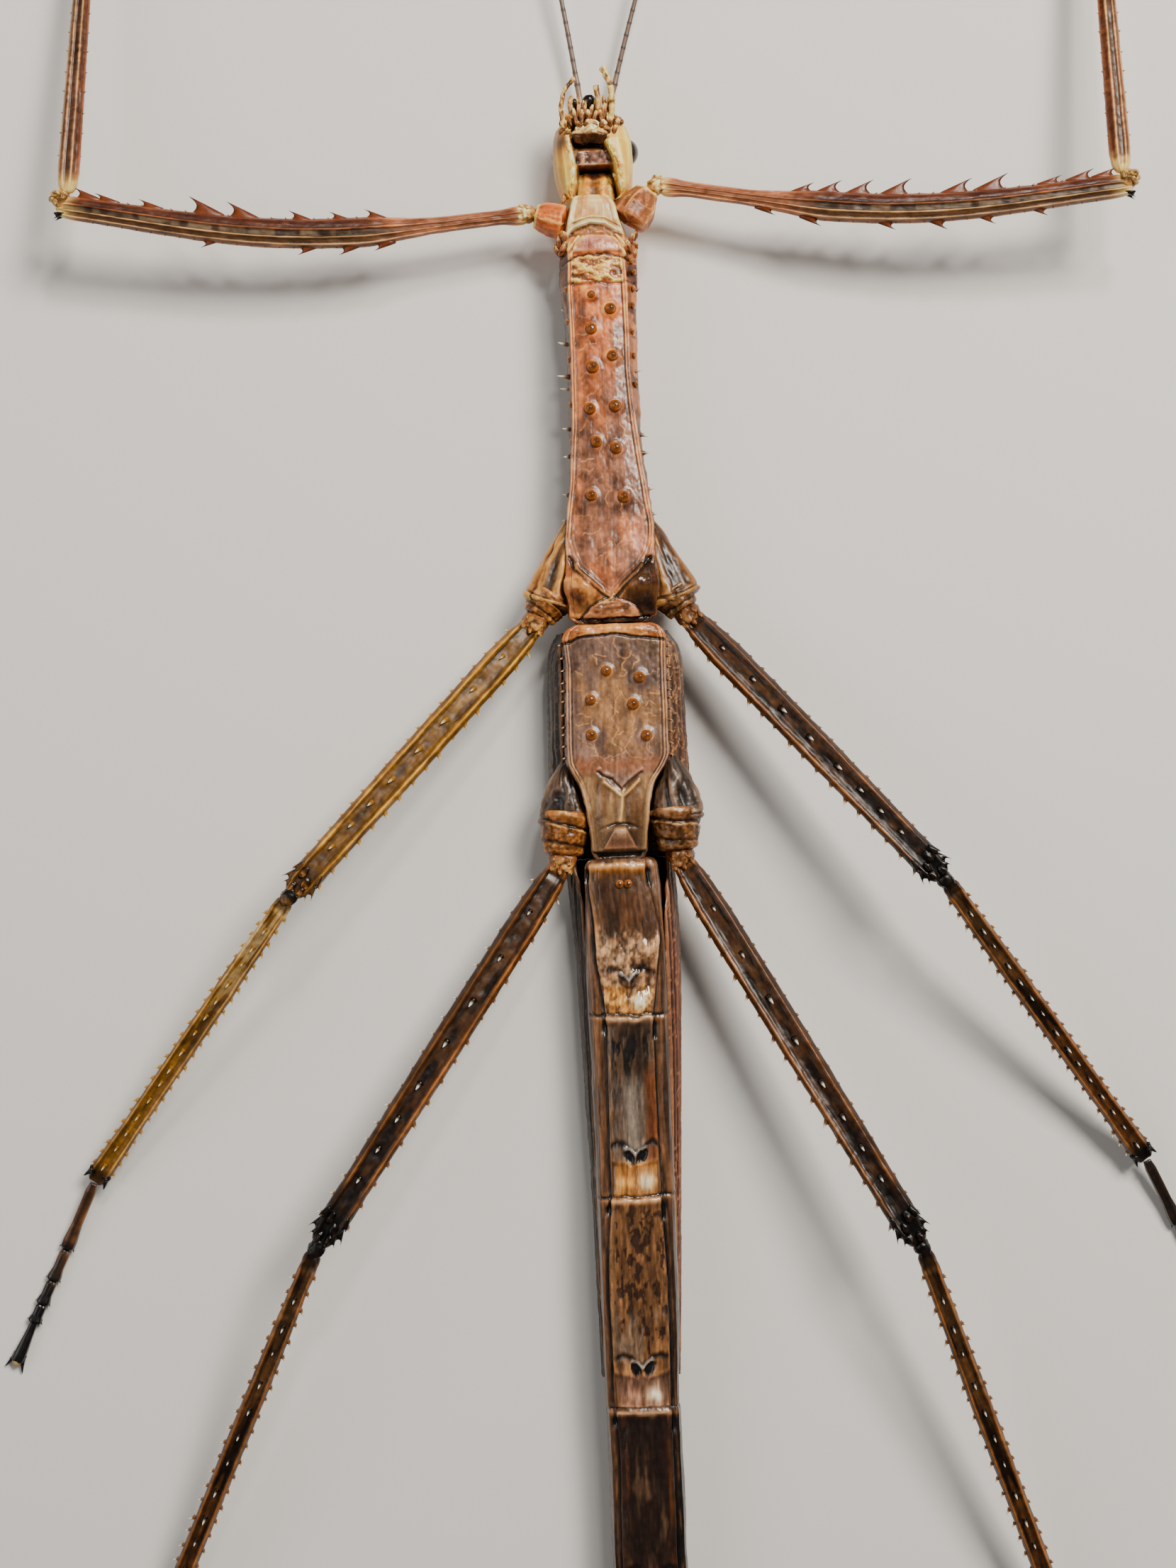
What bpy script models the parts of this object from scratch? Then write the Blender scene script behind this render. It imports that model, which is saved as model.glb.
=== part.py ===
"""A giant winged stick insect, life size, lying on its back with its legs spread and its feet on the floor.

Metres, +Z up. The head points to +Y, the belly faces +Z, and the insect's own left side is +X. The body is
drawn in millimetres about its own axis, with Y = 0 inside the hind thorax, and moved at the end so that the
origin is the centre of the whole outline at floor level.
"""

import math

import bmesh
import bpy
from mathutils import Matrix, Vector

MM = 0.001
GAP = 0.2  # mm, the thin cut between two neighbouring pieces
SIDES = 18  # round a body section
PLATE = 0.6  # mm, the thickness of a wing or wing cover
SHARP_ANGLE = math.radians(40)  # faces that meet at more than this show an edge

# The trunk's outline, in mm: place along the body, half-width, height of the back, height of the belly.
PROFILE = (
    (58.0, 3.0, 2.0, 7.4),
    (53.0, 3.5, 1.6, 7.8),
    (50.0, 4.3, 1.2, 8.1),
    (40.0, 4.05, 1.0, 8.2),
    (30.0, 4.1, 0.9, 8.3),
    (20.0, 4.7, 0.9, 8.7),
    (15.5, 5.0, 0.9, 9.0),
    (12.0, 4.4, 0.9, 9.0),
    (9.5, 4.6, 0.9, 8.9),
    (5.0, 5.6, 0.9, 9.0),
    (-7.0, 6.0, 0.9, 9.2),
    (-11.0, 3.8, 0.9, 9.1),
    (-17.5, 3.3, 0.9, 8.5),
    (-21.0, 3.9, 0.9, 8.6),
    (-34.5, 4.1, 0.9, 8.6),
    (-55.0, 4.35, 0.9, 8.6),
    (-79.0, 4.4, 0.9, 8.3),
    (-103.0, 4.35, 0.5, 8.0),
    (-126.0, 4.2, 0.3, 7.4),
    (-146.0, 3.7, 0.3, 6.8),
    (-158.0, 3.3, 0.5, 6.2),
    (-166.0, 3.0, 0.7, 5.6),
    (-173.0, 2.3, 1.0, 4.8),
)

# The body's lengths from front to back: name, front end, back end, in mm.
THORAX = (("prothorax", 57.8, 53.0), ("mesothorax", 53.0, 9.6), ("metathorax", 9.6, -17.3))
LEG_OF_LENGTH = {"prothorax": "fore", "mesothorax": "mid", "metathorax": "hind"}
ABDOMEN_ENDS = (-17.3, -34.5, -55.0, -79.0, -103.0, -126.0, -146.0, -158.0, -166.0, -173.0)
FIRST_ABDOMEN_SEGMENT = 2  # the first is fused into the hind thorax

# The knobs under the two rear thorax lengths, in mm: (from the midline, along the body).
KNOBS = {
    "mesothorax": ((1.2, 45.1), (-1.1, 42.9), (1.2, 39.8), (-1.1, 38.6), (1.3, 34.1), (-1.5, 33.9),
                   (-1.0, 30.1), (1.2, 29.3), (-1.8, 24.1), (1.8, 23.8)),
    "metathorax": ((-0.9, 4.3), (2.8, 3.4), (-2.8, 1.1), (1.9, 0.4), (-2.9, -2.9), (3.3, -3.1)),
}
KNOB_RADIUS = 0.75

# The head capsule, in mm: place, half-width, height of the crown, height of the throat.
HEAD_PROFILE = (
    (58.2, 3.7, 2.2, 7.2),
    (60.0, 4.3, 1.6, 7.8),
    (62.5, 4.55, 1.3, 8.0),
    (64.6, 4.45, 1.3, 7.8),
    (66.2, 4.0, 1.6, 7.4),
    (67.4, 3.2, 2.1, 6.8),
)
HEAD_ROLL = math.radians(-7)
HEAD_AXIS = Vector((0, 0, 4.8))
EYE_CENTRE = Vector((3.75, 63.9, 3.3))
EYE_RADII = Vector((1.25, 1.45, 1.35))

# A leg: the names' prefix, side (+1 is the insect's left), coxa from and to, coxa radii, femur from, and for
# the femur, tibia and tarsus the compass bearing in degrees from +X; then the femur's rise and the lengths.
LEG_KINDS = {
    "fore": {"femur": 53.0, "tibia": 58.0, "tarsus": 21.0, "tarsus_radius": 0.62, "foot_height": 0.5},
    "mid": {"femur": 41.0, "tibia": 42.6, "tarsus": 23.0, "tarsus_radius": 0.75, "foot_height": 0.62},
    "hind": {"femur": 50.0, "tibia": 60.0, "tarsus": 24.0, "tarsus_radius": 0.75, "foot_height": 0.62},
}
LEGS = (
    {"kind": "fore", "side": -1, "coxa": ((-3.5, 55.5, 6.2), (-7.0, 56.5, 6.0)), "radii": (2.1, 1.7),
     "hip": (-7.4, 56.6, 6.0), "bearings": (177.9, 85.5, 86.0), "rise": 4.5},
    {"kind": "fore", "side": 1, "coxa": ((3.6, 55.2, 6.4), (6.1, 58.9, 6.1)), "radii": (2.5, 1.8),
     "hip": (7.1, 59.3, 6.0), "bearings": (-3.6, 90.4, 91.0), "rise": 5.5},
    {"kind": "mid", "side": -1, "coxa": ((-6.9, 13.0, 6.2), (-8.5, 10.6, 6.4)), "radii": (2.2, 1.7),
     "hip": (-8.8, 10.1, 6.5), "bearings": (-133.5, -127.9, -116.0), "rise": 10.5},
    {"kind": "mid", "side": 1, "coxa": ((6.9, 13.0, 6.2), (8.4, 10.8, 6.4)), "radii": (2.2, 1.7),
     "hip": (8.7, 10.3, 6.5), "bearings": (-49.0, -54.8, -64.0), "rise": 10.5},
    {"kind": "hind", "side": -1, "coxa": ((-6.1, -11.6, 5.8), (-6.6, -16.6, 6.4)), "radii": (2.5, 2.1),
     "hip": (-6.8, -17.3, 6.5), "bearings": (-124.9, -114.9, -112.0), "rise": 8.7},
    {"kind": "hind", "side": 1, "coxa": ((6.2, -11.6, 5.8), (6.6, -16.6, 6.4)), "radii": (2.5, 2.1),
     "hip": (6.8, -17.3, 6.5), "bearings": (-60.6, -71.0, -68.0), "rise": 8.6},
)
ANKLE_HEIGHT = 2.2  # mm, where the tibia ends

# Leg sections as (share of the length, half-width, half-depth) in mm.
FORE_FEMUR = ((0.0, 0.9, 0.9), (0.012, 1.25, 1.15), (0.035, 1.15, 1.1), (0.05, 0.9, 0.95), (0.2, 0.95, 1.0),
              (0.32, 1.75, 1.3), (0.6, 1.7, 1.4), (0.88, 1.4, 1.3), (0.97, 1.35, 1.2), (1.0, 1.0, 1.0))
FORE_TIBIA = ((0.0, 0.95, 0.9), (0.05, 1.3, 1.1), (0.35, 1.05, 0.95), (0.9, 0.85, 0.8), (1.0, 0.95, 0.85))
WALK_FEMUR = ((0.0, 1.0, 1.0), (0.02, 1.45, 1.35), (0.045, 1.35, 1.3), (0.06, 1.3, 1.25), (0.15, 1.95, 1.5),
              (0.5, 1.75, 1.45), (0.85, 1.55, 1.3), (0.93, 1.6, 1.4), (0.97, 1.55, 1.3), (1.0, 1.0, 0.9))
WALK_TIBIA = ((0.0, 0.85, 0.8), (0.04, 1.15, 1.0), (0.3, 1.25, 1.05), (0.8, 1.2, 1.0), (0.96, 1.35, 1.1),
              (1.0, 1.1, 0.9))
CHAMFER = 0.64  # of a leg's smaller half-size, the width of its cut corners
FORE_BOW = 2.6  # mm, how far the fore femur bows back
TARSUS_SHARES = (0.38, 0.55, 0.68, 0.78, 1.0)  # where its five joints end

MATERIALS = {
    "chitin_brown": ((0.23, 0.13, 0.07), 0.4),
    "chitin_dark": ((0.08, 0.05, 0.03), 0.35),
    "chitin_red": ((0.42, 0.2, 0.11), 0.4),
    "chitin_cream": ((0.72, 0.58, 0.34), 0.45),
    "eye": ((0.03, 0.03, 0.035), 0.15),
    "wing": ((0.16, 0.1, 0.06), 0.5),
}


def clear_scene():
    for obj in list(bpy.data.objects):
        bpy.data.objects.remove(obj)


def make_material(name):
    colour, roughness = MATERIALS[name]
    material = bpy.data.materials.get(name)
    if material is None:
        material = bpy.data.materials.new(name)
        material.use_nodes = True
        shader = material.node_tree.nodes["Principled BSDF"]
        shader.inputs["Base Color"].default_value = (*colour, 1)
        shader.inputs["Roughness"].default_value = roughness
        shader.inputs["Metallic"].default_value = 0
    return material


def add_object(name, bm, material):
    """The finished object of a bmesh that was drawn in millimetres."""
    bmesh.ops.recalc_face_normals(bm, faces=bm.faces)
    bm.transform(Matrix.Scale(MM, 4))
    mesh = bpy.data.meshes.new(name)
    bm.to_mesh(mesh)
    bm.free()
    mesh.materials.append(make_material(material))
    mesh.shade_smooth()
    mesh.set_sharp_from_angle(angle=SHARP_ANGLE)
    obj = bpy.data.objects.new(name, mesh)
    bpy.context.scene.collection.objects.link(obj)
    return obj


def add_loft(bm, rings):
    """A closed tube through rings of points, with a flat cap at each end."""
    loops = [[bm.verts.new(point) for point in ring] for ring in rings]
    count = len(loops[0])
    for one, two in zip(loops, loops[1:]):
        for i in range(count):
            j = (i + 1) % count
            bm.faces.new((one[i], one[j], two[j], two[i]))
    bm.faces.new(loops[0])
    bm.faces.new(loops[-1])


def make_loft(name, rings, material):
    bm = bmesh.new()
    add_loft(bm, rings)
    return add_object(name, bm, material)


def between(table, at):
    """The values of a table, whose rows start with a place, at any place, by straight lines between rows."""
    rows = sorted(table)
    for one, two in zip(rows, rows[1:]):
        if at <= two[0]:
            share = max(0.0, (at - one[0]) / (two[0] - one[0]))
            return [a + (b - a) * share for a, b in zip(one[1:], two[1:])]
    return list(rows[-1][1:])


def power(value, exponent):
    return math.copysign(abs(value) ** exponent, value)


def body_ring(y, half_width, back, belly, sides=SIDES):
    """A section across the body: a rounded box, flattened where it meets the floor."""
    middle, half_height = (back + belly) / 2, (belly - back) / 2
    ring = []
    for i in range(sides):
        angle = math.tau * (i + 0.5) / sides
        x = half_width * power(math.cos(angle), 0.8)
        z = middle + half_height * power(math.sin(angle), 0.75)
        ring.append(Vector((x, y, max(z, 0))))
    return ring


def body_places(front, back, table):
    inside = [row[0] for row in table if back + 1 < row[0] < front - 1]
    return sorted([front - GAP / 2, back + GAP / 2, *inside], reverse=True)


def boolean(target, cutter, operation):
    """Joins or cuts target with cutter, which stays as a hidden helper."""
    modifier = target.modifiers.new(operation.lower(), "BOOLEAN")
    modifier.operation = operation
    modifier.object = cutter
    cutter.hide_render = True
    cutter.display_type = "WIRE"


def frame_along(start, end):
    """(direction, side, up) of a limb from start to end, where side is level."""
    direction = (end - start).normalized()
    side = direction.cross(Vector((0, 0, 1))).normalized()
    return direction, side, side.cross(direction)


def limb_rings(start, end, sections, bow=0.0, bow_way=None):
    """Rings of an eight-sided limb, whose flat faces meet at narrow chamfers like a real leg's ridges."""
    direction, side, up = frame_along(start, end)
    length = (end - start).length
    rings = []
    for share, half_width, half_depth in sections:
        centre = start + direction * (length * share)
        if bow_way is not None:
            centre = centre + bow_way * (bow * math.sin(math.pi * share) ** 1.2)
        w, h = half_width, half_depth
        c = CHAMFER * min(w, h)
        corners = ((w, h - c), (w - c, h), (c - w, h), (-w, h - c),
                   (-w, c - h), (c - w, -h), (w - c, -h), (w, c - h))
        rings.append([lift(centre + side * x + up * z) for x, z in corners])
    return rings


def lift(point):
    """A point no lower than the floor."""
    return Vector((point.x, point.y, max(point.z, 0)))


def add_spine(bm, base, tip, radius, sides=5):
    """A small pointed cone from base to tip."""
    direction, side, up = frame_along(base, tip)
    ring = []
    for i in range(sides):
        angle = math.tau * i / sides
        ring.append(bm.verts.new(base + (side * math.cos(angle) + up * math.sin(angle)) * radius))
    point = bm.verts.new(tip)
    for i in range(sides):
        bm.faces.new((ring[i], ring[(i + 1) % sides], point))
    bm.faces.new(ring)


def join_spines(target, spines):
    """Unites a set of cones, given as (base, tip, radius), with the piece that they grow from."""
    bm = bmesh.new()
    for base, tip, radius in spines:
        add_spine(bm, base, tip, radius)
    cones = add_object(target.name + "_spines", bm, target.data.materials[0].name)
    boolean(target, cones, "UNION")


def compass(bearing, rise=0.0):
    """A direction from its bearing and rise in degrees."""
    a, e = math.radians(bearing), math.radians(rise)
    return Vector((math.cos(a) * math.cos(e), math.sin(a) * math.cos(e), math.sin(e)))


def add_lobe(bm, start, end, first_radius, last_radius, sides=10):
    direction, side, up = frame_along(start, end)
    rings = []
    for share, radius in ((0, first_radius), (1, last_radius)):
        centre = start.lerp(end, share)
        rings.append([
            centre + (side * math.cos(math.tau * i / sides) + up * math.sin(math.tau * i / sides)) * radius
            for i in range(sides)
        ])
    add_loft(bm, rings)


def coxa_rings(leg, extra=0.0):
    """Rings of a leg's coxa, a short cone; extra makes it larger all over, to cut the socket it sits in."""
    start, end = (Vector(point) for point in leg["coxa"])
    direction, side, up = frame_along(start, end)
    first, last = leg["radii"]
    rings = []
    for share, radius, along in ((0.0, first * 0.92, -extra), (0.3, first, 0), (0.75, (first + last) / 2, 0),
                                 (1.0, last * 0.85, extra)):
        centre = start.lerp(end, share) + direction * along
        rings.append([
            lift(centre + (side * math.cos(a) + up * math.sin(a)) * (radius + extra))
            for a in (math.tau * i / 10 for i in range(10))
        ])
    return rings


def cut_sockets(target, kind):
    """Cuts from target the hollows that the coxae of one pair of legs sit in."""
    bm = bmesh.new()
    for leg in LEGS:
        if leg["kind"] == kind:
            add_loft(bm, coxa_rings(leg, GAP))
    boolean(target, add_object(f"{target.name}_{kind}_sockets", bm, "chitin_brown"), "DIFFERENCE")


def make_thorax():
    """The three thorax lengths; the rear two carry a hollow-sided lobe towards each of their legs."""
    for name, front, back in THORAX:
        rings = [body_ring(y, *between(PROFILE, y)) for y in body_places(front, back, PROFILE)]
        if name == "prothorax":
            rings = [[in_head(point) for point in ring] for ring in rings]
        trunk = make_loft(name, rings, "chitin_brown")
        kind = LEG_OF_LENGTH[name]
        if kind == "fore":
            cut_sockets(trunk, kind)
            continue
        bm = bmesh.new()
        for leg in LEGS:
            if leg["kind"] == kind:
                start, end = (Vector(point) for point in leg["coxa"])
                way = (end - start).normalized()
                reach = 7.5 if kind == "mid" else 4.5
                root = Vector((leg["side"] * 3.4, start.y + reach, 5.2))
                add_lobe(bm, root, start - way * GAP, 1.0, leg["radii"][0] * 1.05)
        lobes = add_object(name + "_lobes", bm, "chitin_brown")
        boolean(trunk, lobes, "UNION")
        cut_sockets(trunk, kind)
        join_knobs(trunk, KNOBS[name])
        if name == "mesothorax":
            join_spines(trunk, side_spines())


def join_knobs(target, places):
    """Unites the low round knobs with the plate under the body."""
    bm = bmesh.new()
    for x, y in places:
        belly = between(PROFILE, y)[2]
        made = bmesh.ops.create_uvsphere(bm, u_segments=7, v_segments=5, radius=KNOB_RADIUS)
        bmesh.ops.translate(bm, verts=made["verts"], vec=Vector((x, y, belly - 0.1)))
    boolean(target, add_object(target.name + "_knobs", bm, "chitin_red"), "UNION")


def side_spines():
    """Two rows of short thorns along the flanks of the middle thorax."""
    spines = []
    for side in (-1, 1):
        for i in range(7):
            y = 46.0 - 4.0 * i + 0.8 * side
            half_width, back, belly = between(PROFILE, y)
            z = (back + belly) / 2 + 0.9 * (-1) ** i
            base = Vector((side * (half_width - 0.5), y, z))
            spines.append((base, base + Vector((side * 1.5, 0.3, 0.2)), 0.4))
    return spines


def make_abdomen():
    """Segments two to ten, each a little wider at its hind edge."""
    for i, (front, back) in enumerate(zip(ABDOMEN_ENDS, ABDOMEN_ENDS[1:])):
        places = (front - GAP / 2, front - 1.5, (front + back) / 2, back + 1.5, back + GAP / 2)
        rings = []
        for y, flare in zip(places, (-0.25, 0.0, 0.0, 0.1, 0.0)):
            half_width, low, high = between(PROFILE, y)
            rings.append(body_ring(y, half_width + flare, low, high + flare / 2))
        make_loft(f"abdomen_{i + FIRST_ABDOMEN_SEGMENT}", rings, "chitin_brown")


def make_tail():
    """The egg-laying plate under the last segments, shaped like a boat, and the two leaf-like cerci."""
    keel = ((-150.0, 2.0, 0.5), (-156.0, 2.3, 0.8), (-166.0, 1.8, 0.9), (-174.0, 1.1, 0.6),
            (-178.0, 0.4, 0.3))
    rings = []
    for y, half_width, half_depth in keel:
        belly = between(PROFILE, y)[2]
        rings.append([
            Vector((half_width * math.cos(a), y, belly + GAP + half_depth * (1 + math.sin(a)) + 0.1))
            for a in (math.tau * i / 10 for i in range(10))
        ])
    make_loft("operculum", rings, "chitin_brown")
    leaf = ((0.0, 0.5), (0.15, 0.9), (0.5, 1.25), (0.8, 0.9), (1.0, 0.3))
    for name, side in (("cercus_left", 1), ("cercus_right", -1)):
        start, end = Vector((side * 1.2, -173.4, 2.4)), Vector((side * 3.4, -185.0, 1.6))
        rings = limb_rings(start, end, [(share, half_width, 0.3) for share, half_width in leaf])
        make_loft(name, rings, "chitin_brown")


def in_head(point):
    """A point of the head, rolled a little towards the insect's left about the neck's axis."""
    offset = Vector(point) - HEAD_AXIS
    return Matrix.Rotation(HEAD_ROLL, 3, "Y") @ offset + HEAD_AXIS


def make_ellipsoid(name, centre, radii, material):
    bm = bmesh.new()
    bmesh.ops.create_uvsphere(bm, u_segments=12, v_segments=8, radius=1)
    for vert in bm.verts:
        vert.co = in_head(Vector(centre) + Vector(a * b for a, b in zip(vert.co, radii)))
    return add_object(name, bm, material)


def make_head():
    rings = [[in_head(p) for p in body_ring(*row)] for row in HEAD_PROFILE]
    head = make_loft("head", rings, "chitin_cream")
    bm = bmesh.new()
    add_loft(bm, [body_ring(y, 2.7, 3.4, 9.5, 12) for y in (57.0, 60.9)])
    boolean(head, add_object("throat_opening", bm, "chitin_cream"), "DIFFERENCE")
    cut_sockets(head, "fore")
    make_loft("neck", [body_ring(y, 2.3, 3.8, 7.4, 12) for y in (60.6, 57.8 + GAP)], "chitin_cream")
    for name, side in (("left", 1), ("right", -1)):
        centre = Vector((side * EYE_CENTRE.x, EYE_CENTRE.y, EYE_CENTRE.z))
        make_ellipsoid("eye_" + name, centre, EYE_RADII, "eye")
        socket = make_ellipsoid("eye_socket_" + name, centre, EYE_RADII + Vector((GAP,) * 3), "eye")
        boolean(head, socket, "DIFFERENCE")


def make_mouth():
    jaws = ((67.6, 2.9, 2.6, 6.8), (68.6, 2.7, 2.8, 6.9), (70.0, 1.9, 3.4, 6.4))
    make_loft("jaws", [[in_head(p) for p in body_ring(*row, 12)] for row in jaws], "chitin_cream")
    lip = ((64.4, 2.4, 8.3, 9.1), (65.4, 3.2, 8.2, 9.3), (67.2, 2.8, 7.9, 9.1), (68.6, 1.6, 7.6, 8.6))
    make_loft("lower_lip", [[in_head(p) for p in body_ring(*row, 12)] for row in lip], "chitin_cream")
    routes = {
        "palp_left": ((3.7, 66.9, 8.3), (2.9, 68.8, 8.9), (2.2, 70.4, 8.8), (1.3, 72.3, 8.3)),
        "palp_right": ((-3.8, 66.9, 8.3), (-3.9, 68.6, 8.9), (-3.3, 70.4, 8.8), (-2.0, 71.9, 8.3)),
    }
    for name, route in routes.items():
        make_tube(name, [in_head(p) for p in route], (0.45, 0.4, 0.35, 0.25), "chitin_cream")


def make_tube(name, route, radii, material):
    """A round feeler through the route's points, smooth between them, with closed ends."""
    curve = bpy.data.curves.new(name, "CURVE")
    curve.dimensions = "3D"
    curve.bevel_depth = MM
    curve.bevel_resolution = 2
    curve.resolution_u = 4
    curve.use_fill_caps = True
    curve.materials.append(make_material(material))
    spline = curve.splines.new("BEZIER")
    spline.bezier_points.add(len(route) - 1)
    for knot, point, radius in zip(spline.bezier_points, route, radii):
        knot.co = Vector(point) * MM
        knot.radius = radius
        knot.handle_left_type = knot.handle_right_type = "AUTO"
    obj = bpy.data.objects.new(name, curve)
    bpy.context.scene.collection.objects.link(obj)
    return obj


def make_antennae():
    for name, base, bearing, bend in (
        ("antenna_left", Vector((1.6, 68.0, 2.0)), 74.4, -6.0),
        ("antenna_right", Vector((-0.9, 68.0, 2.0)), 98.0, 6.0),
    ):
        route = [base]
        for i, rise in enumerate((4.0, 5.0, 0.0, -4.0, -4.0)):
            route.append(route[-1] + compass(bearing + bend * i / 4, rise) * 10.0)
        make_tube(name, route, (0.5, 0.36, 0.33, 0.3, 0.28, 0.26), "chitin_dark")


def wing_ring(y, outer, top, side):
    """A section of a wing plate: flat on the floor from the midline out, then turned up along the flank."""
    corner = 1.3
    outline = ((GAP / 2, 0), (outer - corner, 0), (outer - 0.35, 0.45), (outer, corner), (outer - 0.15, top))
    inner = ((outer - 0.15 - PLATE, top), (outer - PLATE, corner + 0.15),
             (outer - corner - 0.1, PLATE), (GAP / 2, PLATE))
    return [Vector((side * x, y, z)) for x, z in (*outline, *inner)]


def make_wings():
    """Short leathery wing covers over the hind thorax, and behind them the folded wings along the abdomen."""
    cover = ((9.2, 6.1, 2.2), (6.0, 7.3, 4.2), (-8.0, 7.8, 4.0), (-13.0, 7.8, 2.6), (-17.0, 6.6, 2.2))
    wing = ((-17.0 - GAP, 6.6, 4.6), (-21.0, 6.5, 5.6), (-34.5, 5.9, 5.0), (-44.0, 5.7, 4.4),
            (-55.0, 5.3, 2.9), (-68.0, 5.1, 2.6), (-77.0, 4.8, 1.8))
    for side, label in ((1, "left"), (-1, "right")):
        make_loft("wing_cover_" + label, [wing_ring(*row, side) for row in cover], "wing")
        make_loft("wing_" + label, [wing_ring(*row, side) for row in wing], "wing")


def knee_lobes(start, end, half_width, spread):
    """The pair of thorns beside a knee, pointing on along the leg."""
    direction, side, up = frame_along(start, end)
    spines = []
    for way in (-1, 1):
        base = end - direction * 3.2 + side * (way * half_width * 0.6) + up * 0.3
        tip = end - direction * 0.9 + side * (way * spread) + up * 0.5
        spines.append((base, tip, 0.65))
    return spines


def fore_teeth(start, end, bow_way):
    """The saw teeth along the front edge of a fore femur and the smaller ones along its rear edge."""
    direction, side, up = frame_along(start, end)
    length = (end - start).length
    front = -bow_way
    spines = []
    for shares, way, size in (
        ((0.36, 0.43, 0.5, 0.56, 0.69, 0.77, 0.87, 0.93), front, 1.5),
        ((0.34, 0.42, 0.55, 0.64, 0.73), bow_way, 0.9),
    ):
        for i, share in enumerate(shares):
            centre = start + direction * (length * share)
            centre = centre + bow_way * (FORE_BOW * math.sin(math.pi * share) ** 1.2)
            half_width = between(FORE_FEMUR, share)[0]
            height = size * (1.0 if share < 0.8 else 0.65)
            base = centre + way * (half_width - 0.5)
            tip = centre + way * (half_width + height) + direction * 0.6
            spines.append((base, tip, 0.75 if size > 1 else 0.55))
    return spines


def make_leg(leg):
    kind = LEG_KINDS[leg["kind"]]
    label = f"{leg['kind']}_{'left' if leg['side'] > 0 else 'right'}_"
    hip = Vector(leg["hip"])
    fore = leg["kind"] == "fore"

    make_loft(label + "coxa", coxa_rings(leg), "chitin_red" if fore else "chitin_brown")

    femur_way = compass(leg["bearings"][0], leg["rise"])
    femur_from = hip + femur_way * GAP
    knee = femur_from + femur_way * kind["femur"]
    bow_way = Vector((0, -1, 0)) if fore else None
    sections = FORE_FEMUR if fore else WALK_FEMUR
    rings = limb_rings(femur_from, knee, sections, FORE_BOW, bow_way)
    femur = make_loft(label + "femur", rings, "chitin_red" if fore else "chitin_brown")
    if fore:
        join_spines(femur, fore_teeth(femur_from, knee, bow_way))
    else:
        join_spines(femur, knee_lobes(femur_from, knee, 1.6, 2.4))

    tibia_from = knee + femur_way * 0.55
    if fore:
        inward = Vector((-leg["side"], 0, 0))
        tibia_from = knee + inward * 1.3 + Vector((0, 1.2 + GAP, 0))
    flat_way = compass(leg["bearings"][1])
    drop = tibia_from.z - ANKLE_HEIGHT
    run = math.sqrt(kind["tibia"] ** 2 - drop ** 2)
    ankle = tibia_from + flat_way * run - Vector((0, 0, drop))
    rings = limb_rings(tibia_from, ankle, FORE_TIBIA if fore else WALK_TIBIA)
    make_loft(label + "tibia", rings, "chitin_red" if fore else "chitin_brown")
    make_tarsus(label + "tarsus", ankle, compass(leg["bearings"][2]), kind)


def make_tarsus(name, ankle, way, kind):
    """Five joints on the floor, the last ending in a pad and two claws."""
    length, radius = kind["tarsus"], kind["tarsus_radius"]
    side = way.cross(Vector((0, 0, 1)))
    rings = []
    last = 0.0
    for share in TARSUS_SHARES:
        for at, size in ((last + 0.01, 0.75), (share - 0.01, 1.15)):
            height = ANKLE_HEIGHT + (kind["foot_height"] - ANKLE_HEIGHT) * min(1.0, at / TARSUS_SHARES[0])
            centre = ankle + way * (GAP + length * at)
            centre.z = height
            rings.append([
                lift(centre + (side * math.cos(a) + Vector((0, 0, math.sin(a)))) * (radius * size))
                for a in (math.tau * (i + 0.5) / 8 for i in range(8))
            ])
        last = share
    foot = make_loft(name, rings, "chitin_dark")
    end = ankle + way * (GAP + length * 0.985)
    end.z = kind["foot_height"]
    claws = []
    for turn in (-1, 1):
        base = end - way * 0.7 + side * (turn * 0.35)
        claws.append((base, end + way * 1.7 + side * (turn * 1.2), 0.42))
    join_spines(foot, claws)


def centre_on_floor():
    """Moves the whole insect so that the origin is the centre of its outline at floor level."""
    bpy.context.view_layer.update()
    graph = bpy.context.evaluated_depsgraph_get()
    points = []
    for obj in bpy.context.scene.objects:
        if not obj.hide_render:
            evaluated = obj.evaluated_get(graph)
            points += [vert.co.copy() for vert in evaluated.to_mesh().vertices]
            evaluated.to_mesh_clear()
    middle = [(min(p[i] for p in points) + max(p[i] for p in points)) / 2 for i in range(2)]
    shift = Vector((-middle[0], -middle[1], 0))
    for obj in bpy.context.scene.objects:
        obj.location += shift


def main():
    clear_scene()
    make_head()
    make_mouth()
    make_antennae()
    make_thorax()
    make_abdomen()
    make_tail()
    make_wings()
    for leg in LEGS:
        make_leg(leg)
    centre_on_floor()


main()
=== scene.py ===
"""Looks of the giant stick insect: a life-size model that lies on its back, seen from straight above.

Shapes are drawn in millimetres in the body's own frame: Y runs to the head with Y = 0 inside the hind
thorax, Z is up out of the belly, and X is the insect's left. They move to the CAD's place at the end.
"""

import math

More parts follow.
